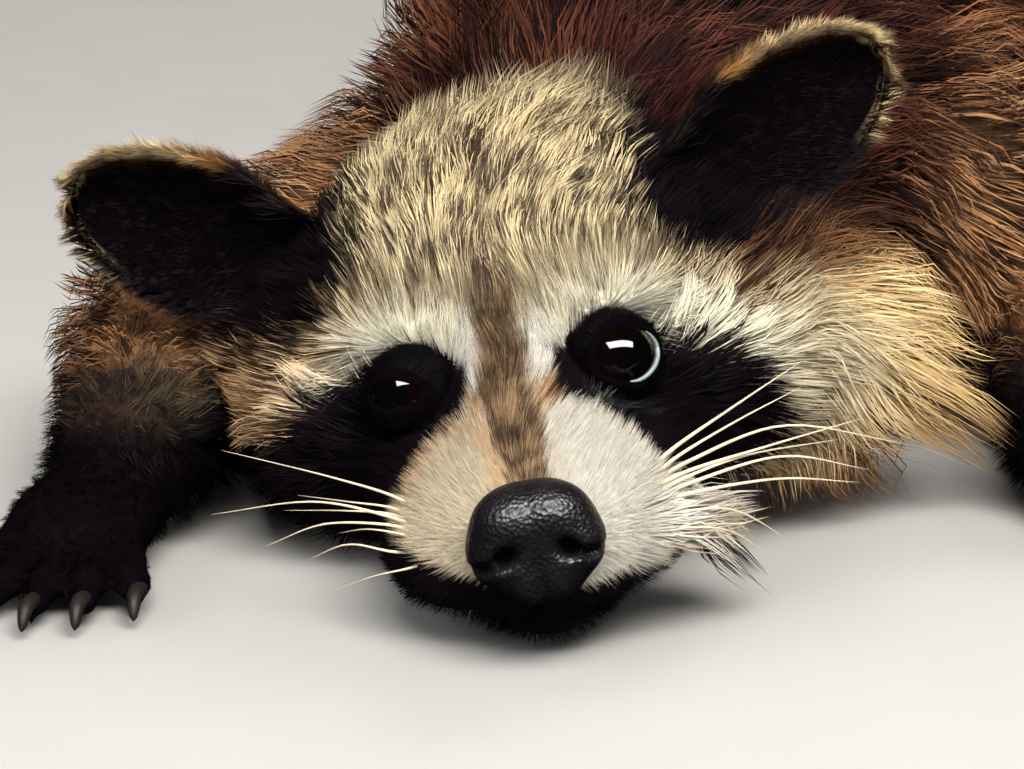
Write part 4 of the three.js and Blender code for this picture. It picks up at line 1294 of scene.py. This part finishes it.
def nose_form(p):
    """The nose pad, with its nostrils and the groove below them."""
    folded = into(HEAD, p) - NOSE_CENTRE
    folded[:, 0] = np.abs(folded[:, 0])
    form = lump(WORLD, (0, 0, 0), (11.6, 9.6, 10.6))(folded, 0)
    for centre, radii in (((6.8, -2.6, -0.6), (6.2, 6.6, 6.6)), ((3.2, -2.0, 5.4), (7.2, 7.2, 5.4)),
                          ((2.4, -3.2, -6.5), (4.6, 6.4, 5.6))):
        form = joined(3.5, form, lump(WORLD, centre, radii)(folded, 0))
    holes = [limb(WORLD, (4.3, -13, 0.4), 2.3, (6.6, -6.5, -0.4), 1.7),
             limb(WORLD, (6.0, -10.5, -0.8), 1.5, (10.4, -6.2, -2.4), 0.9),
             limb(WORLD, (10.2, -7.4, -2.3), 0.9, (13.4, -2.0, -2.9), 0.5)]
    for hole in holes:
        form = -joined(1.4, -form, hole(folded, 0))
    groove = limb(WORLD, (0, -11.2, 1.5), 0.2, (0, -9.6, -12), 0.5)
    return -joined(1.2, -form, groove(folded, 0))


nose_mid = out_of(HEAD, NOSE_CENTRE)
p, f = surface_net(nose_form, nose_mid - 15.5, nose_mid + 15.5, 0.55)
nose_pad = mesh_object("nose_pad", slid_onto(nose_form, p, most=0.5, step=0.15, least=0.1), f)


LID_GAP = 0.15  # between an eyeball and its lids


def eyeball(side):
    """A sphere with rings round its gaze, bulging a little at the cornea."""
    rings, steps = 40, 64
    away = np.linspace(0, np.pi, rings + 1)[1:-1]
    around = np.linspace(0, 2 * np.pi, steps, endpoint=False)
    aa, rr = np.meshgrid(away, around, indexing="ij")
    p = on_eye(side, aa, rr, eye_height(aa) - LID_GAP).reshape(-1, 3)
    ends = np.array([0, np.pi])
    poles = on_eye(side, ends, np.zeros(2), eye_height(ends) - LID_GAP)
    made = mesh_object("eyeball_left" if side > 0 else "eyeball_right", np.vstack([p, poles]),
                       [ring_faces(len(away), steps), *end_faces(len(away), steps)])
    set_colours(made, np.degrees(np.concatenate([aa.ravel(), [0, 180]]))[:, None] / (90, 90, 90),
                "Away")
    return made


def reflecting_rim():
    """A pale bluish band on the wet edge of the left eye's lower lid: a painted reflection."""
    around = np.radians(np.linspace(-108, 34, 40))
    taper = np.sin(np.linspace(0.02, np.pi - 0.02, 40)) ** 0.5
    away = opening_angle(1, around) - math.radians(3.2)
    middle = on_eye(1, away, around, eye_height(away))
    return tube_mesh("lid_rim_reflection_left", [middle], [0.5 * taper], 10)


def tube_mesh(name, lines, radii, steps=8):
    """Joined round tubes along lines of points, with closed ends."""
    all_points, quads, ends, first = [], [], [], 0
    turns = np.linspace(0, 2 * np.pi, steps, endpoint=False)
    for line, radius in zip(lines, radii):
        ahead = unit(np.gradient(line, axis=0))
        side = unit(np.cross(ahead, (0.13, 0.31, 0.94)))
        up = np.cross(side, ahead)
        ring = (line[:, None] + np.asarray(radius)[:, None, None]
                * (np.cos(turns)[None, :, None] * side[:, None]
                   + np.sin(turns)[None, :, None] * up[:, None]))
        n = len(line)
        all_points += [ring.reshape(-1, 3), line[[0, -1]]]
        quads.append(first + ring_faces(n, steps))
        ends += [first + faces for faces in end_faces(n, steps)]
        first += n * steps + 2
    return mesh_object(name, np.concatenate(all_points), [np.concatenate(quads),
                                                          np.concatenate(ends)])


eyeballs = {side: eyeball(side) for side in (1, -1)}
rim_reflection = reflecting_rim()


def curve(points, count):
    return centripetal(np.asarray(points, float), np.linspace(0, 1, count))


def claw_lines(name):
    """The midlines of a paw's claws."""
    own = paw_frame(name)
    for _, claw in digits(name):
        root, middle, tip = (np.array(p, float) for p in claw)
        root = root + (0, 3.5, -0.4)
        tip = tip + (0, 0, 0.3)
        yield curve(out_of(own, [root, middle + (0, 0, 0.5), tip]), 12)


claws = {}
for name in LEGS:
    lines = list(claw_lines(name))
    t = np.linspace(0, 1, 12)
    girth = 1.75 * np.sqrt(1 - t**1.6) * (0.75 + 0.25 * ramp(t, 0, 0.3)) + 0.12
    claws[name] = tube_mesh(f"claws_{name}", lines, [girth] * len(lines), 10)

# Whiskers in the head's frame: where each leaves the skin, its middle, its tip and its thickness.
WHISKERS = [
    ((25, -32, 30), (40, -30, 37), (56, -18, 41), 0.42),
    ((25, -35, 29), (40, -33, 35), (55, -22, 37), 0.36),
    ((26, -34, 28), (49, -33, 33), (73, -21, 22), 0.40),
    ((25, -40, 28), (45, -39, 31), (65, -27, 30), 0.42),
    ((25, -41, 27), (41, -39, 30), (60, -28, 27), 0.38),
    ((25, -41, 26), (48, -40, 29), (65, -28, 20), 0.40),
    ((25, -42, 25), (47, -41, 25), (63, -29, 18), 0.40),
    ((25, -44, 23), (37, -42, 21), (47, -30, 10), 0.30),
    ((24, -46, 21), (35, -44, 18), (43, -32, 8), 0.26),
    ((-23, -35, 31), (-37, -32, 38), (-58, -20, 44), 0.38),
    ((-24, -37, 30), (-34, -34, 33), (-45, -22, 33), 0.32),
    ((-24, -40, 29), (-40, -37, 35), (-62, -25, 33), 0.40),
    ((-24, -38, 29), (-35, -36, 32), (-48, -24, 31), 0.30),
    ((-24, -41, 28), (-39, -39, 31), (-53, -26, 25), 0.38),
    ((-24, -43, 27), (-31, -41, 29), (-38, -29, 26), 0.30),
    ((-25, -44, 24), (-35, -42, 27), (-45, -30, 22), 0.34),
    ((-23, -47, 22), (-31, -45, 21), (-41, -33, 16), 0.28),
]


def whisker_lines():
    """Each whisker's midline and its radius along that."""
    lines, girths = [], []
    for start, middle, end, girth in WHISKERS:
        spot = slid_onto(skin_form, out_of(HEAD, [start]), 4, 6)
        out = unit(slope_of(body_form, spot, 1))[0]
        stops = [spot[0] - out, spot[0] + out * 1.5, *out_of(HEAD, [middle, end])]
        stops = [p if i != 1 else p * 0.8 + stops[2] * 0.2 for i, p in enumerate(stops)]
        lines.append(curve(stops, 24))
        taper = 1 - np.linspace(0, 1, 24) ** 1.3 * 0.9
        girths.append((1.3 if start[0] > 0 else 1.1) * girth * taper)
    return lines, girths


lines, girths = whisker_lines()
whiskers = tube_mesh("whiskers", lines, girths, 6)

# ---------------------------------------------------------------- materials


def node(tree, kind, settings=None, **inputs):
    """A node of a material, with its settings, and its inputs by name, or by number as i0, i1."""
    made = tree.nodes.new(kind)
    for key, value in (settings or {}).items():
        setattr(made, key, value)
    for key, value in inputs.items():
        socket = made.inputs[int(key[1:]) if key[1:].isdigit() else key]
        if isinstance(value, bpy.types.NodeSocket):
            tree.links.new(value, socket)
        else:
            socket.default_value = value
    return made


def noise(tree, scale, detail=3.0, stretch=(1, 1, 1)):
    where = node(tree, "ShaderNodeTexCoord").outputs["Object"]
    where = node(tree, "ShaderNodeMapping", Vector=where, Scale=stretch).outputs[0]
    return node(tree, "ShaderNodeTexNoise", Vector=where, Scale=scale, Detail=detail).outputs[0]


def spread(tree, value, low, high):
    """A value from 0 to 1, as one from low to high."""
    ends = {"To Min": low, "To Max": high}
    return node(tree, "ShaderNodeMapRange", Value=value, **ends).outputs[0]


def painted(tree, name, output="Color"):
    return node(tree, "ShaderNodeAttribute", {"attribute_name": name}).outputs[output]


class Surface:
    """A material, made in steps: its tree, then its colour and roughness, gloss and bump."""

    def __init__(self, name):
        self.material = bpy.data.materials.new(name)
        self.material.use_nodes = True
        self.tree = self.material.node_tree
        self.tree.nodes.clear()
        out = self.tree.nodes.new("ShaderNodeOutputMaterial")
        self.shader = self.tree.nodes.new("ShaderNodeBsdfPrincipled")
        self.tree.links.new(self.shader.outputs["BSDF"], out.inputs["Surface"])

    def finish(self, colour, vary, rough, height, strength, distance, **gloss):
        """A colour scaled by a value, a roughness, a bump, and the shader's own inputs by name."""
        tree, shader = self.tree, self.shader
        scaled = node(tree, "ShaderNodeVectorMath", {"operation": "SCALE"}, i0=colour, Scale=vary)
        tree.links.new(scaled.outputs[0], shader.inputs["Base Color"])
        tree.links.new(rough, shader.inputs["Roughness"])
        for name, value in gloss.items():
            shader.inputs[name.replace("_", " ")].default_value = value
        raised = node(tree, "ShaderNodeBump", Height=height, Strength=strength, Distance=distance)
        tree.links.new(raised.outputs[0], shader.inputs["Normal"])
        return self.material


def hair_material(name):
    """Painted colours, varied from hair to hair, with a soft gloss."""
    made = Surface(name)
    tree = made.tree
    return made.finish(painted(tree, "Coat"), spread(tree, noise(tree, 420, 2), 0.8, 1.2),
                       spread(tree, noise(tree, 160, 2), 0.42, 0.68),
                       noise(tree, 1500, 1), 0.12, 0.0004, Specular_IOR_Level=0.022)


def skin_material():
    """The coat's colours in streaks, for what shows between the hairs."""
    made = Surface("skin_under_coat")
    tree = made.tree
    streak = noise(tree, 700, 4, (1, 0.3, 1))
    return made.finish(painted(tree, "Coat"), spread(tree, streak, 0.35, 1.5),
                       spread(tree, noise(tree, 90), 0.55, 0.85), streak, 0.7, 0.0012,
                       Specular_IOR_Level=0.0)


def nose_material():
    """Black moist skin in small pebbles."""
    made = Surface("nose_moist")
    tree = made.tree
    where = node(tree, "ShaderNodeTexCoord").outputs["Object"]
    cells = node(tree, "ShaderNodeTexVoronoi", Vector=where, Scale=1150.0)
    vary = noise(tree, 260)
    return made.finish((0.004, 0.003, 0.0045), spread(tree, vary, 0.4, 2.0),
                       spread(tree, vary, 0.28, 0.5), cells.outputs["Distance"], 0.4, 0.0005,
                       Specular_IOR_Level=0.35)


def eye_material():
    """A black pupil in an iris nearly as dark, under a clear wet coat."""
    made = Surface("eye_wet")
    tree = made.tree
    tone = node(tree, "ShaderNodeValToRGB", Fac=painted(tree, "Away", "Fac"))
    tones = tone.color_ramp.elements
    stops = [(0.0, (0.001, 0.001, 0.0015)), (0.22, (0.001, 0.001, 0.0015)),
             (0.27, (0.002, 0.001, 0.0008)), (0.42, (0.003, 0.0012, 0.0008)),
             (0.52, (0.002, 0.001, 0.001)), (0.8, (0.006, 0.005, 0.004))]
    while len(tones) < len(stops):
        tones.new(0.5)
    for element, (at, rgb) in zip(tones, stops):
        element.position = at
        element.color = (*rgb, 1)
    return made.finish(tone.outputs["Color"], spread(tree, noise(tree, 900, 4), 0.6, 1.4),
                       spread(tree, noise(tree, 300), 0.03, 0.09), noise(tree, 500), 0.03, 0.0002,
                       Specular_IOR_Level=0.1, Coat_Weight=1.0, Coat_IOR=1.36,
                       Coat_Roughness=0.02)


def plain_material(name, rgb, rough, scale, bumps, spec, coat=0.0, vary=0.4):
    """A colour that varies in lightness, with its own grain."""
    made = Surface(name)
    tree = made.tree
    grain = noise(tree, scale, 4)
    return made.finish(rgb, spread(tree, grain, 1 - vary, 1 + vary),
                       spread(tree, grain, rough * 0.8, rough * 1.25),
                       noise(tree, scale * 3), bumps, 0.0003,
                       Specular_IOR_Level=spec, Coat_Weight=coat)


def finish_piece(piece, material, slot, *replaced):
    """A piece's material and body, and the CAD nodes that it replaces. The slot is not used."""
    piece.data.materials.append(material)
    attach(piece, "root")
    if replaced:
        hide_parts(*replaced)


fur = {slot: hair_material(f"fur_{slot}")
       for slot in ("coat_head", "coat_grizzled", "coat_dark", "coat_tail")}
legs = [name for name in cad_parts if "leg_" in name]
feet = [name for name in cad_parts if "paw_" in name or "foot_" in name]
finish_piece(skin, skin_material(), "coat_grizzled", "head", "lower_jaw", "ear_left", "ear_right",
             "neck", "chest", "belly", "rump", "tail_base", "tail_middle", "tail_tip", *legs, *feet)
for piece, slot in coat_pieces:
    finish_piece(piece, fur[slot], slot)
finish_piece(nose_pad, nose_material(), "nose_skin", "nose")
eye_skin = eye_material()
for side, name in ((1, "eye_left"), (-1, "eye_right")):
    finish_piece(eyeballs[side], eye_skin, "eye", name)
# pale blue-grey: a painted reflection along the left eye's wet lid rim
wet = plain_material("lid_rim_reflection", (0.22, 0.29, 0.29), 0.25, 300, 0.05, 0.3, 0.1)
finish_piece(rim_reflection, wet, "nose_skin")
horn = plain_material("claw_horn", (0.016, 0.012, 0.010), 0.5, 220, 0.15, 0.16)
for name, piece in claws.items():
    finish_piece(piece, horn, "nose_skin")
finish_piece(whiskers, plain_material("whisker", (0.76, 0.65, 0.47), 0.4, 120, 0.05, 0.2),
             "coat_head")

# ---------------------------------------------------------------- floor, lights, camera

FLOOR_REACH = 6.0
floor_mesh = bpy.data.meshes.new("floor")
floor_mesh.from_pydata([(FLOOR_REACH * i, FLOOR_REACH * j, 0)
                        for i, j in ((-1, -1), (1, -1), (1, 1), (-1, 1))], [], [(0, 1, 2, 3)])
floor = bpy.data.objects.new("floor", floor_mesh)
bpy.context.scene.collection.objects.link(floor)
floor.data.materials.append(
    plain_material("floor_paper", (0.50, 0.49, 0.475), 0.8, 30, 0.02, 0.2, vary=0.03))


def softbox(name, place, target, size, watts, colour=(1, 1, 1)):
    """A soft lamp of a width and height in metres, turned to a target."""
    data = bpy.data.lights.new(name, "AREA")
    data.shape = "RECTANGLE"
    data.size, data.size_y = size
    data.energy = watts
    data.color = colour
    lamp = bpy.data.objects.new(name, data)
    lamp.location = place
    lamp.rotation_euler = (Vector(target) - Vector(place)).to_track_quat("-Z", "Y").to_euler()
    bpy.context.scene.collection.objects.link(lamp)
    return lamp


eye_middle = Vector(((EYES[1] + EYES[-1]) / 2 + SHIFT) * MM)
key = softbox("key", eye_middle + Vector((0.20, -0.88, 0.95)), eye_middle, (1.0, 0.55), 30,
              (1.0, 0.97, 0.91))
fill = softbox("fill", eye_middle + Vector((-1.5, -0.9, 0.9)), eye_middle, (1.0, 1.0), 10)
back = softbox("back", eye_middle + Vector((0.9, 1.7, 1.5)), eye_middle + Vector((0, 0.2, 0)),
               (1.4, 1.0), 26, (1.0, 0.93, 0.84))
catch = softbox("catch", eye_middle + Vector((0.09, -0.59, 0.92)), eye_middle, (1.5, 0.42), 62)
catch.visible_diffuse = False  # the one lamp that glints in the eyes and on the nose
for unseen in (key, fill, back, floor):
    unseen.visible_glossy = False
world = bpy.data.worlds.new("studio")
bpy.context.scene.world = world
world.use_nodes = True
world.node_tree.nodes["Background"].inputs["Color"].default_value = (0.86, 0.88, 0.92, 1)
world.node_tree.nodes["Background"].inputs["Strength"].default_value = 0.3
world.cycles_visibility.glossy = False
bpy.context.scene.view_settings.view_transform = "Standard"

# The photo spans 202.4 mm at the eyes, seen from 0.8 m away and 14 degrees above.
SPAN, DISTANCE, ELEVATION, SENSOR = 0.2024, 0.8, math.radians(14), 36
IMAGE = (1024, 769)
EYES_AT = (513, 376)  # pixel of the point midway between the eyes
pixel = SPAN / IMAGE[0]
away = Vector((0, -math.cos(ELEVATION), math.sin(ELEVATION)))
up = Vector((0, math.sin(ELEVATION), math.cos(ELEVATION)))
aim = (eye_middle + Vector((1, 0, 0)) * (IMAGE[0] / 2 - EYES_AT[0]) * pixel
       + up * (EYES_AT[1] - IMAGE[1] / 2) * pixel)
camera = bpy.data.objects.new("camera", bpy.data.cameras.new("camera"))
camera.data.sensor_width = SENSOR
camera.data.lens = SENSOR * DISTANCE / SPAN
camera.data.clip_start = 0.01
camera.location = aim + away * DISTANCE
camera.rotation_euler = (-away).to_track_quat("-Z", "Y").to_euler()
bpy.context.scene.collection.objects.link(camera)
bpy.context.scene.camera = camera
